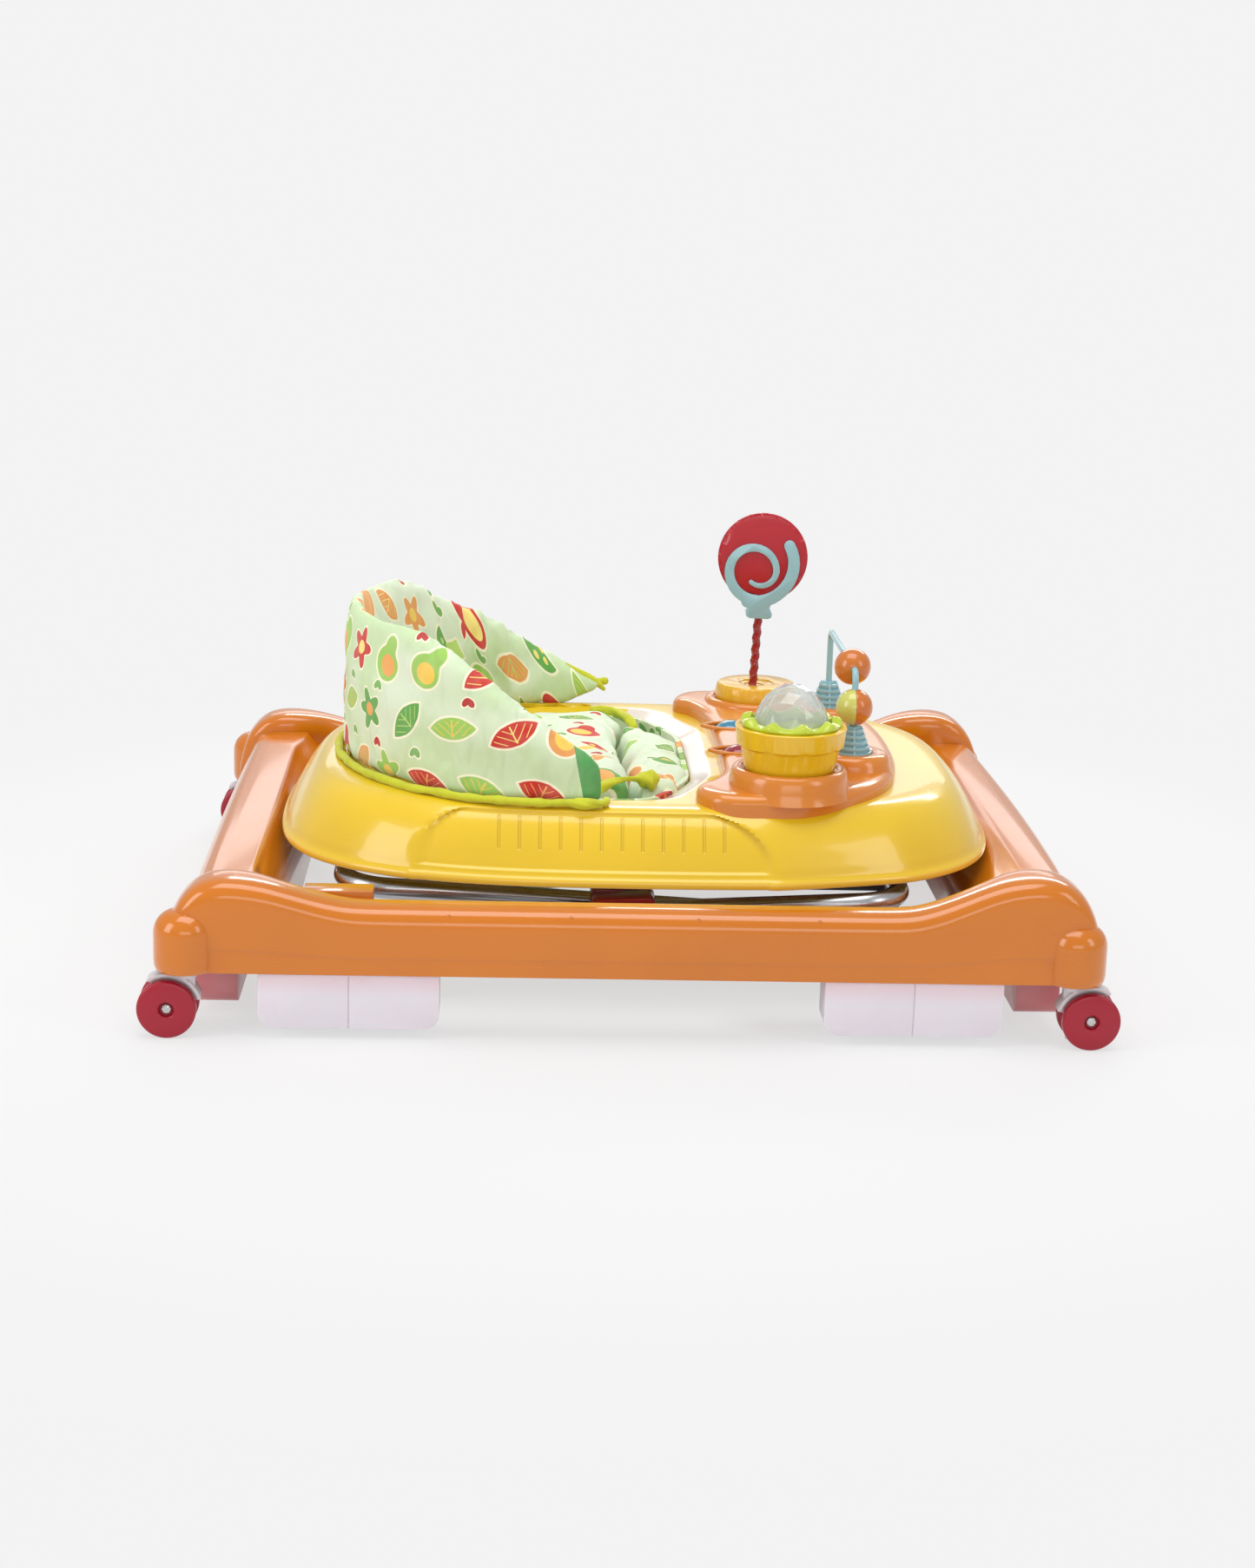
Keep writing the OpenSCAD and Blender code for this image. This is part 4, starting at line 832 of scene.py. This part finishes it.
def consoleOutline(z, g):
    a, b, wing = console["front"] - 50 - g, console["half"] - g, 17 - g
    points, lobe = [], []
    for k in range(-12, 13):
        t = radians(abs(k * 7.2))
        points.append((50 + a * share(cos(t), 0.62), (-1 if k < 0 else 1) * b * share(sin(t), 0.78)))
    for t in range(100, 241, 20):
        flat = 1 if t < 180 else 0.7
        lobe.append((console["inner"] + 2 + (wing + 9) * cos(radians(t)),
                     console["half"] - 36 + (wing + 17) * sin(radians(t)) * flat))
    points += lobe
    points += [(console["inner"] + g + 3 - 3 * (y / 110) ** 2, y) for y in (110, 70, 0, -70, -110)]
    points += [(x, -y) for x, y in reversed(lobe)]
    return [(x, y, z) for x, y in points]


def eyeOutline(grow, z, y0, count=14):  # pointed oval round a button
    r, off = console["eye"] + grow, console["eyeDrop"]
    start = atan2(off, sqrt(r * r - off * off))
    turns = [start + (pi - 2 * start) * k / count for k in range(count)]
    upper = [(r * cos(a), r * sin(a) - off) for a in turns]
    return [(console["button"][0] + x, y0 + y, z) for x, y in upper + [(-x, -y) for x, y in upper]]


def makeConsole():
    floor, top = console["floor"], console["top"]
    toyX, toyY = console["toy"]
    rise = [(floor - 15, 0.8), (floor - 8, 0.3), (floor + 4, 0), (floor + 6, 0.3), (floor + 8.5, 1.6),
            (floor + 10.6, 4), (floor + 11.7, 7), (top, 11), (top, 18)]
    mount = [(33, 6), (31, 10), (29.8, 16), (28.6, 19.6), (26.6, 22), (24, 23), (16.6, 23), (15.7, 22.4),
             (15.5, 21.05), (0, 21)]
    body = skin("consoleBody", [consoleOutline(z, g) for z, g in rise])
    with editing(body, "FACE"):
        pick("faces", lambda f: len(f.verts) > 8)
        bpy.ops.mesh.quads_convert_to_tris(ngon_method="BEAUTY")
    soften(body)
    for side in (-1, 1):
        cut = [eyeOutline(0, z, side * console["button"][1]) for z in (top - 4, top + 6)]
        cutAway(body, skin("eyeCutter", cut))
    parts = [body]
    for side, level in ((-1, console["cupSeat"]), (1, console["lollySeat"])):
        h = level - floor
        collar = [(47.5, 4), (46, 9), (45.2, h * 0.5), (44.4, h - 6), (43.4, h - 2.6), (41.8, h - 0.7),
                  (39.8, h), (37.4, h - 0.1), (36.4, h - 0.6), (36.1, h - 1.9), (0, h - 1.95)]
        rim = eyeOutline(0.8, top - 0.1, side * console["button"][1])
        parts.append(turned("collar", (toyX, side * toyY, floor), collar, 72))
        parts.append(turned("archMount", (console["archX"], side * console["archY"], floor), mount, 56))
        parts.append(tubeAlong("eyeRim", rim, 1.7, 10, closed=True))
    return shade(joined("toyConsoleBody", *parts), 38)


toyConsole = makeConsole()
fit(toyConsole, "tray", "console_orange", finishes["consoleOrange"], "toy_console")
print("console done")


# hardware that keeps its shape

hardware = {  # part: (finish, rounding of its edges)
    "right_pivot_bracket": ("orangeShell", 1.2), "left_pivot_bracket": ("orangeShell", 1.2),
    "right_slide_track": ("orangeShell", 0.8), "left_slide_track": ("orangeShell", 0.8),
    "base_pivot_pins": ("steel", 0.5), "hinge_rivets": ("steel", 0.7), "slide_rod": ("steel", 0.5),
    "outer_frame_tube": ("steel", 0), "inner_frame_tube": ("steel", 0),
    "outer_hinge_blocks": ("hingeRed", 1.2), "inner_hinge_blocks": ("hingeRed", 1.2),
    "track_rollers": ("darkNylon", 0.7), "tray_saddles": ("trayYellow", 0.8),
    "tray_guides": ("darkNylon", 0.8),
    "lollipop_ring": ("ringYellow", 0.8), "lollipop_stem": ("stemRed", 0), "lollipop_disc": ("candyRed", 0),
    "lollipop_swirl": ("paleBlue", 0.8), "arch_bar": ("paleBlue", 0),
    "right_arch_foot": ("paleBlue", 0.4), "left_arch_foot": ("paleBlue", 0.4),
    "orange_ball": ("ballOrange", 0.4), "green_ball_half": ("ballGreen", 0.25),
    "orange_ball_half": ("ballOrange", 0.25),
    "blue_button": ("buttonBlue", 0.35), "red_button": ("buttonRed", 0.35),
    "rattle_cup": ("cupYellow", 0.8), "cup_icing_rim": ("limeIcing", 0), "rattle_beads": ("beadBlue", 0),
}
for node in bodyOf:
    if node.endswith("_stop"):
        # the stops at the ends get the pink copy: painted shade and painted reflection
        hardware[node] = ("stopWhite" if node.split("_")[0] in ("right", "left") else "stopShadedPink", 1.6)
    elif node.endswith("_caster"):
        hardware[node] = ("casterWhite", 0.6)
    elif node.endswith("_wheels"):
        hardware[node] = ("wheelCrimson", 0.5)
    elif node.endswith("_axle"):
        hardware[node] = ("axleSteel", 0.3)

slotOf = {part["node"]: part["material_slot"] for part in frame["record"]["subparts"]}
for node, (finish, rounding) in hardware.items():
    piece = refined(node, rounding)
    if node == "cup_icing_rim":
        shade(soften(piece, 2), 60)
    fit(piece, bodyOf[node], slotOf[node], finishes[finish], node)


def makeDome():  # a clear cap cut in flat facets
    low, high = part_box("cup_dome")
    radius, tall = (high[0] - low[0]) / 2, high[2] - low[2]
    centre = ((low[0] + high[0]) / 2, (low[1] + high[1]) / 2, low[2])
    bpy.ops.object.select_all(action="DESELECT")
    bpy.ops.mesh.primitive_ico_sphere_add(subdivisions=3, radius=radius)
    dome = called("facetedDome")
    with editing(dome, chosen="SELECT"):
        bpy.ops.mesh.bisect(plane_co=(0, 0, 0.0001), plane_no=(0, 0, 1), clear_inner=True)
        bpy.ops.mesh.select_all(action="SELECT")
        bpy.ops.transform.resize(value=(1, 1, tall / radius), center_override=(0, 0, 0))
        bpy.ops.transform.translate(value=centre)
        bpy.ops.mesh.normals_make_consistent(inside=False)
    return thicken(dome, 1.2)


fit(makeDome(), bodyOf["cup_dome"], slotOf["cup_dome"], finishes["clearShell"], "cup_dome")
print("hardware done")


# cloth finishes

printing = {
    "cell": 44, "size": 1.05, "ground": (224, 237, 211), "shade": (201, 224, 174), "outline": (250, 246, 216),
    "tones": [(104, 170, 84), (233, 160, 88), (205, 54, 48), (160, 206, 98)],
    "seconds": [(247, 207, 90), (240, 170, 92), (190, 222, 120), (250, 226, 130)],
    "redBean": (190, 44, 44), "greenBean": (120, 178, 92), "worn": (232, 238, 214),
    "lime": (203, 207, 52), "lining": (86, 160, 88),
}


def ramp(finish, tones, place):  # one of the tones, with hard steps between them
    steps = [(k / len(tones), colour(*tone)) for k, tone in enumerate(tones)]
    chosen = finish.node("ValToRGB", {"stops": steps}, {"Fac": place})
    chosen.socket.node.color_ramp.interpolation = "CONSTANT"
    return chosen


def dice(finish, x, y, out=0):  # random values for one cell of the print
    return finish.node("TexWhiteNoise", {"noise_dimensions": "2D"}, {"Vector": finish.vector(x, y)}, out=out)


def far(x, y):
    return (x * x + y * y).root()


def motifs(x, y, kind):  # printed shapes as (which, edge, inner); the edge is below 0 inside, in millimetres
    leaf = far(x, y - 16.2).larger(far(x, y + 16.2)) - 24.2
    veins = (abs(x) < 0.55).larger((((y - abs(x) * 0.9) / 6).fraction() < 0.13))
    apple = far(abs(x) - 4.6, y + 1) - 12.4
    appleLeaf = far(x - 9, y - 10).larger(far(x + 1, y - 19)) - 9.6
    pear = x.maths("SMOOTH_MIN", far(x, y + 5.5) - 12.6, far(x * 1.1, y - 10) - 6.6, 7.0)
    flower = far(x, y) - (11.8 + (y.angleTo(x) * 5).cosine() * 3.8)
    cap = (far(x, y + 2) - 16.5).larger(0.5 - y)
    stem = (abs(x) - 5).larger(abs(y + 6) - 8.5)
    spots = (far(abs(x) - 7.5, y - 5) - 2.2).smaller(far(x, y - 9.5) - 2.4)
    return [
        ((kind > -1) * (kind < 0.22), leaf, veins * (leaf < -1.6)),
        ((kind > 0.22) * (kind < 0.44), apple.smaller(appleLeaf), far(x - 4, y + 1) < 8.4),
        ((kind > 0.44) * (kind < 0.64), pear, far(x + 1.5, y + 6) < 8),
        ((kind > 0.64) * (kind < 0.82), flower, far(x, y) < 5),
        (kind > 0.82, cap.smaller(stem), (stem < 0).larger(spots < 0)),
    ]


def woven(finish):  # weave, soft creases and pile
    threads = finish.noise(900, 2) * 0.5 + finish.noise(2300, 1) * 0.3
    long = finish.stretched((22, 22, 9), (0.2, 0.5, 0.3))
    creases = abs(finish.noise(1.0, 3, 0.55, long) - 0.5)
    big = finish.bump(creases.rise(0.0, 0.11) + finish.noise(24, 4) * 0.9, 1.7, 0.75)
    return finish.bump(threads, 0.22, 0.5, big)


def printedCotton(name, mask=None):  # cotton printed with leaves, fruit, flowers and mushrooms
    finish = Finish(name, Sheen_Weight=0.18, Sheen_Roughness=0.5, Specular_IOR_Level=0.25)
    u, v, _ = finish.axes(finish.node("Attribute", {"attribute_name": "lay"}, {}, out=1))
    cell = printing["cell"]
    scale = cell / printing["size"]
    column, down = u / (cell * mm), v / (cell * mm)
    row = down.floor()
    across = column + (row * 0.5).fraction()
    cast = finish.axes(dice(finish, across.floor() + 7.3, row + 2.1, 1))
    turn = (cast[1] - 0.5) * 1.9
    x, y = (across.fraction() - 0.5) * scale + (cast[2] - 0.5) * 2.5, (down.fraction() - 0.5) * scale
    x, y = x * turn.cosine() + y * turn.sine(), y * turn.cosine() - x * turn.sine()
    cloud = finish.noise(9, 3).rise(0.4, 0.62)
    look = finish.blendColours(cloud, colour(*printing["ground"]), colour(*printing["shade"]))
    tone = ramp(finish, printing["tones"], (cast[0] * 5.37 + cast[2]).fraction())
    second = ramp(finish, printing["seconds"], (cast[0] * 3.1 + cast[1] * 2).fraction())
    outline = colour(*printing["outline"])
    for chosen, edge, inner in motifs(x, y, cast[0]):
        look = finish.blendColours(chosen * edge.rise(1.9, 1.4), look, outline)
        look = finish.blendColours(chosen * edge.rise(0.25, -0.25), look, tone)
        look = finish.blendColours(chosen * inner, look, second)
    beanX, beanY = ((column + 0.25).fraction() - 0.5) * cell, ((down + 0.5).fraction() - 0.5) * cell
    beanCast = dice(finish, (column + 0.25).floor() + 0.4, (down + 0.5).floor() + 5.2)
    bean = far(abs(beanX) - 1.8, beanY + abs(beanX) * 0.5) - 3.1
    shown = beanCast < 0.72
    look = finish.blendColours(shown * bean.rise(1.5, 1.0), look, outline)
    red, green = colour(*printing["redBean"]), colour(*printing["greenBean"])
    beanTone = finish.blendColours(beanCast < 0.4, red, green)
    look = finish.blendColours(shown * bean.rise(0.2, -0.2), look, beanTone)
    if mask:
        look = finish.blendColours(mask(finish), look, colour(*printing["lining"]))
    fade = finish.noise(60, 3).rise(0.3, 0.8) * 0.1
    finish.put(
        Base_Color=finish.blendColours(fade, look, colour(*printing["worn"])),
        Roughness=0.8 + finish.noise(300, 2) * 0.14,
        Normal=woven(finish),
    )
    return finish.material


def binding(name, tone, rib=900):  # narrow woven tape
    finish = Finish(name, Sheen_Weight=0.2, Sheen_Roughness=0.4, Specular_IOR_Level=0.3)
    x, y, z = finish.axes()
    ribs = ((x + y * 0.8 + z * 0.7) * rib).sine()
    crease = finish.noise(55, 4, 0.6)
    deep = tuple(c * 0.7 for c in colour(*tone))
    finish.put(
        # the tape is painted darker where the crease noise is high, as painted shade of its creases
        Base_Color=finish.blendColours(crease.rise(0.42, 0.7) * 0.55, colour(*tone), deep),
        Roughness=0.72 + crease * 0.16,
        Normal=finish.bump(ribs * 0.3, 0.3, 0.6, finish.bump(crease, 2.2, 0.8)),
    )
    return finish.material


def wingFacing(finish):  # the outside of a wing's front end is faced with green
    x, y, z = finish.axes()
    return (abs(y) > 0.176) * ((x + (0.178 - z) * -0.2) > -0.0405) * (y < 0)


finishes["wingCotton"] = printedCotton("wingCotton", wingFacing)
finishes["printedCotton"] = printedCotton("printedCotton")
finishes["limeTape"] = binding("limeTape", printing["lime"])


# padded seat

seat = {
    "back": -213, "half": 177, "thick": 18, "foot": 147.2, "crown": 270, "bend": -60, "straight": 0.14,
    "near": {"tip": -21, "rise": 177, "slope": 0.70}, "far": {"tip": -8, "rise": 164, "slope": 0.58},
    "sling": [(0, 0.3), (0.17, 0.3), (0.3, 6), (0.5, 16), (0.72, 34), (0.88, 56), (1, 82)],
    "slingTop": 142, "slingDepth": 96, "slingWall": 4, "legHole": 36, "legTilt": 130,
    "voxel": 5, "pressure": 4, "frames": 20, "stations": 60,
}


def puffed(piece, swell, held=None):  # air blown into a closed cloth skin, with the swelling limited
    modify(piece, "REMESH", mode="VOXEL", voxel_size=seat["voxel"] * mm)
    start = [v.co.copy() for v in piece.data.vertices]
    cloth = piece.modifiers.new("Cloth", "CLOTH")
    cloth.settings.quality = 5
    cloth.settings.use_pressure = True
    cloth.settings.uniform_pressure_force = seat["pressure"]
    cloth.settings.effector_weights.gravity = 0
    if held:
        group = piece.vertex_groups.new(name="held")
        group.add([v.index for v in piece.data.vertices if held(*(c / mm for c in v.co))], 1, "REPLACE")
        cloth.settings.vertex_group_mass = "held"
    for number in range(1, seat["frames"] + 1):
        bpy.context.scene.frame_set(number)
    blown = piece.evaluated_get(bpy.context.evaluated_depsgraph_get())
    ends = [v.co.copy() for v in blown.data.vertices]
    piece.modifiers.remove(cloth)
    bpy.context.scene.frame_set(1)
    for v, a, b in zip(piece.data.vertices, start, ends):
        v.co = a + (b - a) * min(1, swell * mm / max((b - a).length, 1e-9))
    piece.vertex_groups.clear()
    modify(piece, "SMOOTH", factor=0.5, iterations=2)
    return soften(piece, 1)


def folded(piece, rule):  # moves points along their normals by the millimetres that the rule gives
    normals = [v.normal.copy() for v in piece.data.vertices]
    for v, normal in zip(piece.data.vertices, normals):
        v.co += normal * rule(*(c / mm for c in v.co)) * mm
    return piece


def layPrint(piece, rule):  # where each point lies on the flat printed cloth, in millimetres
    lay = piece.data.attributes.new("lay", "FLOAT_VECTOR", "POINT")
    for v, item in zip(piece.data.vertices, lay.data):
        u, w = rule(*(c / mm for c in v.co))
        item.vector = (u * mm, w * mm, 0)
    return piece


def backPath(t):  # a point on the backrest's middle line, from near tip to far tip, and its outward side
    straight, bend, half = seat["straight"], seat["bend"], seat["half"]
    for side, end, run in ((-1, "near", t), (1, "far", 1 - t)):
        if run < straight:
            return seat[end]["tip"] + (bend - seat[end]["tip"]) * run / straight, side * half, 0, side
    b = -pi / 2 - pi * (t - straight) / (1 - 2 * straight)
    return bend + (bend - seat["back"]) * cos(b), half * sin(b), cos(b), sin(b)


def softCap(value, cap, knee=16):
    if value < cap - knee:
        return value
    return cap if value > cap + knee else value - (value - cap + knee) ** 2 / (4 * knee)


def backTop(x, y):
    wings = (seat["near"], seat["far"])
    nearTop, farTop = (wing["rise"] + wing["slope"] * (wing["tip"] - x) for wing in wings)
    part = smooth((y / seat["half"] + 1) / 2)
    return softCap(nearTop, seat["crown"]) * (1 - part) + softCap(farTop, seat["crown"]) * part


def farLift(x, y):  # the far wing's foot rises towards its tip
    return 15 * smooth((x + 46) / 38) if y > 0 else 0


backStations = [backPath(k / seat["stations"]) for k in range(seat["stations"] + 1)]
backLengths = [0]
for a, b in zip(backStations, backStations[1:]):
    backLengths.append(backLengths[-1] + hypot(b[0] - a[0], b[1] - a[1]))


def backSection(t):
    x, y, nx, ny = backPath(t)
    end = 99
    if t < seat["straight"] or t > 1 - seat["straight"]:
        end = seat["near" if y < 0 else "far"]["tip"] - x
    slim = max(0.3, sqrt(1 - max(0, 1 - end / 13) ** 2))
    low, high = seat["foot"] + farLift(x, y), backTop(x, y) - 6 * (1 - slim)
    half = seat["thick"] / 2 * slim
    side = [(0.5, 0), (0.85, 0.05), (1, 0.2), (1.04, 0.48), (0.92, 0.76), (0.6, 0.93), (0.14, 1)]
    ring = side + [(-o, q) for o, q in reversed(side)]
    return [(x + nx * o * half, y + ny * o * half, low + (high - low) * q) for o, q in ring]


def backPlace(x, y, z):  # along the backrest, and up its outside, over the top and down its inside
    squares = [(station[0] - x) ** 2 + (station[1] - y) ** 2 for station in backStations]
    near = squares.index(min(squares))
    px, py, nx, ny = backStations[near]
    top, out = backTop(x, y), (x - px) * nx + (y - py) * ny
    before, after = backStations[max(0, near - 1)], backStations[min(seat["stations"], near + 1)]
    alongX, alongY = after[0] - before[0], after[1] - before[1]
    slide = ((x - px) * alongX + (y - py) * alongY) / hypot(alongX, alongY)
    return backLengths[near] + slide, z if out > 0 else 2 * top - z


def backFolds(x, y, z):
    bend, half = seat["bend"], seat["half"]
    inner, around = abs(y) < half, x
    if x < bend:
        inner = hypot((x - bend) / (bend - seat["back"]), y / half) < 1
        around = atan2(y, x - bend) * 160
    low = max(0, 1 - (z - seat["foot"]) / 34)
    gather = sin(around / 5.2 + 1.3 * sin(around / 17)) * low * (1.3 if inner else 0.7)
    pulled = 0
    if inner and y > 0:
        pulled = 2.6 * sin((x + 0.12 * z) / 3.1) * smooth((x + 136) / 14)
        pulled = pulled * smooth((-78 - x) / 12) * smooth((z - 156) / 20)
    return gather + pulled + 0.9 * sin(around / 23 + z / 16) + 0.5 * sin(z / 6.5 + around / 31)


def makeBackrest():
    pad = skin("seatBackrest", [backSection(k / 56) for k in range(57)])
    puffed(pad, 6, held=lambda x, y, z: z < seat["foot"] + 7 or z > backTop(x, y) - 5)
    folded(pad, backFolds)
    layPrint(pad, backPlace)
    return shade(pad, 60)


def makeHem():
    path = []
    for k, (x, y, nx, ny) in enumerate(backStations):
        out = seat["thick"] / 2 + 4.4 + 0.5 * sin(k * 1.9)
        path.append((x + nx * out, y + ny * out, 149.1 + 0.4 * sin(k * 1.3) + farLift(x, y)))
    first, last = path[0], path[-1]
    path = [(first[0] + 3, first[1] + 14, 149.4), (first[0] + 4, first[1] + 6, 149.2)] + path
    path.append((last[0] + 1, last[1] - 4, last[2]))
    hem = tubeAlong("seatHem", path, 3.3, 12)
    soften(hem, 1)
    folded(hem, lambda x, y, z: 0.35 * sin(x / 2.1 + y / 2.6) + 0.3 * sin(x / 5.3 - y / 4.1))
    return shade(hem, 60)


def makeTab():  # the hem's end is turned back into a small knot
    path = [(-44, -191, 149.4), (-38, -192.5, 149.6), (-31, -193, 149.4), (-25, -192.4, 149.2),
            (-20, -190, 149)]
    tab = tubeAlong("hemKnot", path, lambda t: 2.6 + 2.4 * sin(pi * min(1, t * 1.15 + 0.08)) ** 0.6, 14,
                    lobes=5, twist=0.5)
    return shade(soften(tab, 1), 60)


def makeWingTape():  # tape over the last stretch of the far wing's top edge
    tip, half = seat["far"]["tip"], seat["half"]
    path = []
    for x in [tip - 36 + 4 * k for k in range(10)]:
        path.append((x, half - 2.5, backTop(x, half) - 2.4 - 3 * smooth((x - tip + 8) / 9)))
    tape = tubeAlong("farWingTape", path,
                     lambda t: 1.2 + 2.3 * smooth(t * 1.6) - 1.9 * smooth((t - 0.75) / 0.25))
    return shade(soften(tape, 1), 60)


def cushion(name, outline, low, high, crown):  # a closed form that is crowned above and below
    cx = sum(x for x, _ in outline) / len(outline)
    cy = sum(y for _, y in outline) / len(outline)
    sections = []
    for part, inset in ((0, crown), (0.18, crown * 0.3), (0.5, 0), (0.82, crown * 0.3), (1, crown)):
        scale = [1 - inset / max(6, hypot(x - cx, y - cy)) for x, y in outline]
        level = low + (high - low) * part
        sections.append([(cx + (x - cx) * s, cy + (y - cy) * s, level) for (x, y), s in zip(outline, scale)])
    return skin(name, sections)


thigh = {
    "half": [(3, -40), (3, -95), (-2, -128), (-16, -141), (-34, -143), (-58, -141), (-76, -134), (-86, -112),
             (-90, -60), (-90, 0)],
    "low": 124, "high": 148, "crown": 6, "swell": 6,
}


def thighFolds(x, y, z):
    front = 1.5 * sin(y / 7 + 1.1 * sin(x / 16)) * smooth((x + 40) / 38)
    near = 1.2 * sin(x / 9 + y / 30) * smooth((-30 - y) / 50)
    return front + near + 1.4 * sin((x - y * 0.4) / 12) + 0.7 * sin(y / 4.6) * smooth((x + 14) / 12)


def makeThighPad():  # the padded front of the seat, behind the seam
    outline = [(3, 0)] + thigh["half"] + [(x, -y) for x, y in reversed(thigh["half"][:-1])]
    pad = cushion("frontSeatPad", outline, thigh["low"], thigh["high"], thigh["crown"])
    puffed(pad, thigh["swell"])
    folded(pad, thighFolds)
    layPrint(pad, lambda x, y, z: (x * 0.94 - y * 0.34 + z * 0.4, y * 0.94 + x * 0.34))
    return shade(pad, 60)


nose = {
    "outline": [(3, 0), (3, -50), (4, -98), (8, -126), (22, -130), (36, -112), (46, -86), (49, -50), (49, 0),
                (48, 40), (45, 62), (30, 84), (12, 104), (4, 100), (3, 50)],
    "low": 110, "high": 145, "crown": 5, "swell": 5,
}


def noseFolds(x, y, z):
    front = 1.2 * sin((x + y * 0.6) / 6) * smooth((x - 24) / 16)
    return 1.6 * sin(y / 8 + x / 14) + front + 0.8 * sin(y / 4.4) * smooth((14 - x) / 10)


def makeNosePad():  # the rolled nose of the seat, in front of the seam
    pad = cushion("noseSeatPad", nose["outline"], nose["low"], nose["high"], nose["crown"])
    puffed(pad, nose["swell"])
    folded(pad, noseFolds)
    layPrint(pad, lambda x, y, z: (x * 0.9 + y * 0.44 - z * 0.5 + 16, y * 0.9 - x * 0.44 + 31))
    return shade(pad, 60)


def slingSection(depth, inset):
    back, level = -17 * max(0, depth - 0.17), seat["slingTop"] - seat["slingDepth"] * depth
    return [(x + back, y, z) for x, y, z in seatOutline(-inset, level)]


def slingPlace(x, y, z):
    return atan2(y, x + 60) * 120, z + hypot(x + 60, y) * -0.7


def makeSling():
    sling = skin("seatSling", [slingSection(d, g) for d, g in reversed(seat["sling"])], "fill", "open")
    tilt, radius = radians(seat["legTilt"]), seat["legHole"]
    along, wide = Vector((sin(tilt), 0, cos(tilt))), Vector((0, 1, 0))
    tall = along.cross(wide)
    spokes = [wide * cos(k * pi / 20) + tall * sin(k * pi / 20) for k in range(40)]
    bindings, cutters = [], []
    for side in (-1, 1):
        root = Vector((tray["seat"]["front"] - 91, side * (radius + 24), tray["top"] - 31))
        edge = []
        for spoke in spokes:
            hit, place, _, _ = sling.ray_cast((root + spoke * radius) * mm, along)
            if hit:
                edge.append(place / mm - along * 1.6)
        bindings.append(tubeAlong("legBinding", edge, 3.4, 10, closed=True))
        ends = [[root + along * step + spoke * radius for spoke in spokes] for step in (0, 150)]
        cutters.append(skin("legCutter", ends))
    soften(sling, 1)
    thicken(sling, seat["slingWall"])
    for cutter in cutters:
        cutAway(sling, cutter)
    layPrint(sling, slingPlace)
    return shade(sling, 45), joined("legBindings", *bindings)


def stepped(path, count):  # each stretch of a path cut in equal steps
    return [Vector(a).lerp(Vector(b), s / count) for a, b in zip(path, path[1:]) for s in range(count)]


def strapWidth(t):
    return 3.0 + 1.2 * sin(t * 9) + 3.4 * smooth((t - 0.6) / 0.25) - 2.2 * smooth((t - 0.93) / 0.07)


def makeStrap():  # a twisted lime strap, gathered where it meets the nose pad
    path = [(-27, -147, 147), (-19, -139, 150), (-10, -131, 152), (0, -126, 153), (9, -121, 152),
            (17, -118, 150), (25, -117, 147)]
    strap = tubeAlong("twistedStrap", stepped(path, 5), strapWidth, 16, lobes=3, twist=0.16)
    soften(strap, 1)
    folded(strap, lambda x, y, z: 0.7 * sin(x / 1.3) * smooth((x - 4) / 8))
    return shade(strap, 60)


def makeFarTape():  # tape along the far edge of the front pads
    path = [(-22, 146, 147.5), (-12, 141, 149.5), (-3, 132, 150), (4, 120, 149.5), (9, 107, 148.5),
            (13, 96, 147), (15, 88, 144)]
    tape = tubeAlong("farPadTape", stepped(path, 4),
                     lambda t: 2.6 + 1.5 * smooth(t * 2) - 1.5 * smooth((t - 0.8) / 0.2), 14,
                     lobes=3, twist=0.1)
    return shade(soften(tape, 1), 60)


backrest = fit(makeBackrest(), "tray", "seat_fabric", finishes["wingCotton"], "seat_backrest")
sling, legBindings = makeSling()
fit(sling, "tray", "seat_fabric", finishes["printedCotton"], "seat_bucket")
thighPad = fit(makeThighPad(), "tray", "seat_fabric", finishes["printedCotton"])
nosePad = fit(makeNosePad(), "tray", "seat_fabric", finishes["printedCotton"])
for tape in (legBindings, makeHem(), makeTab(), makeWingTape(), makeStrap(), makeFarTape()):
    fit(tape, "tray", "seat_fabric", finishes["limeTape"])
print("padded seat done")
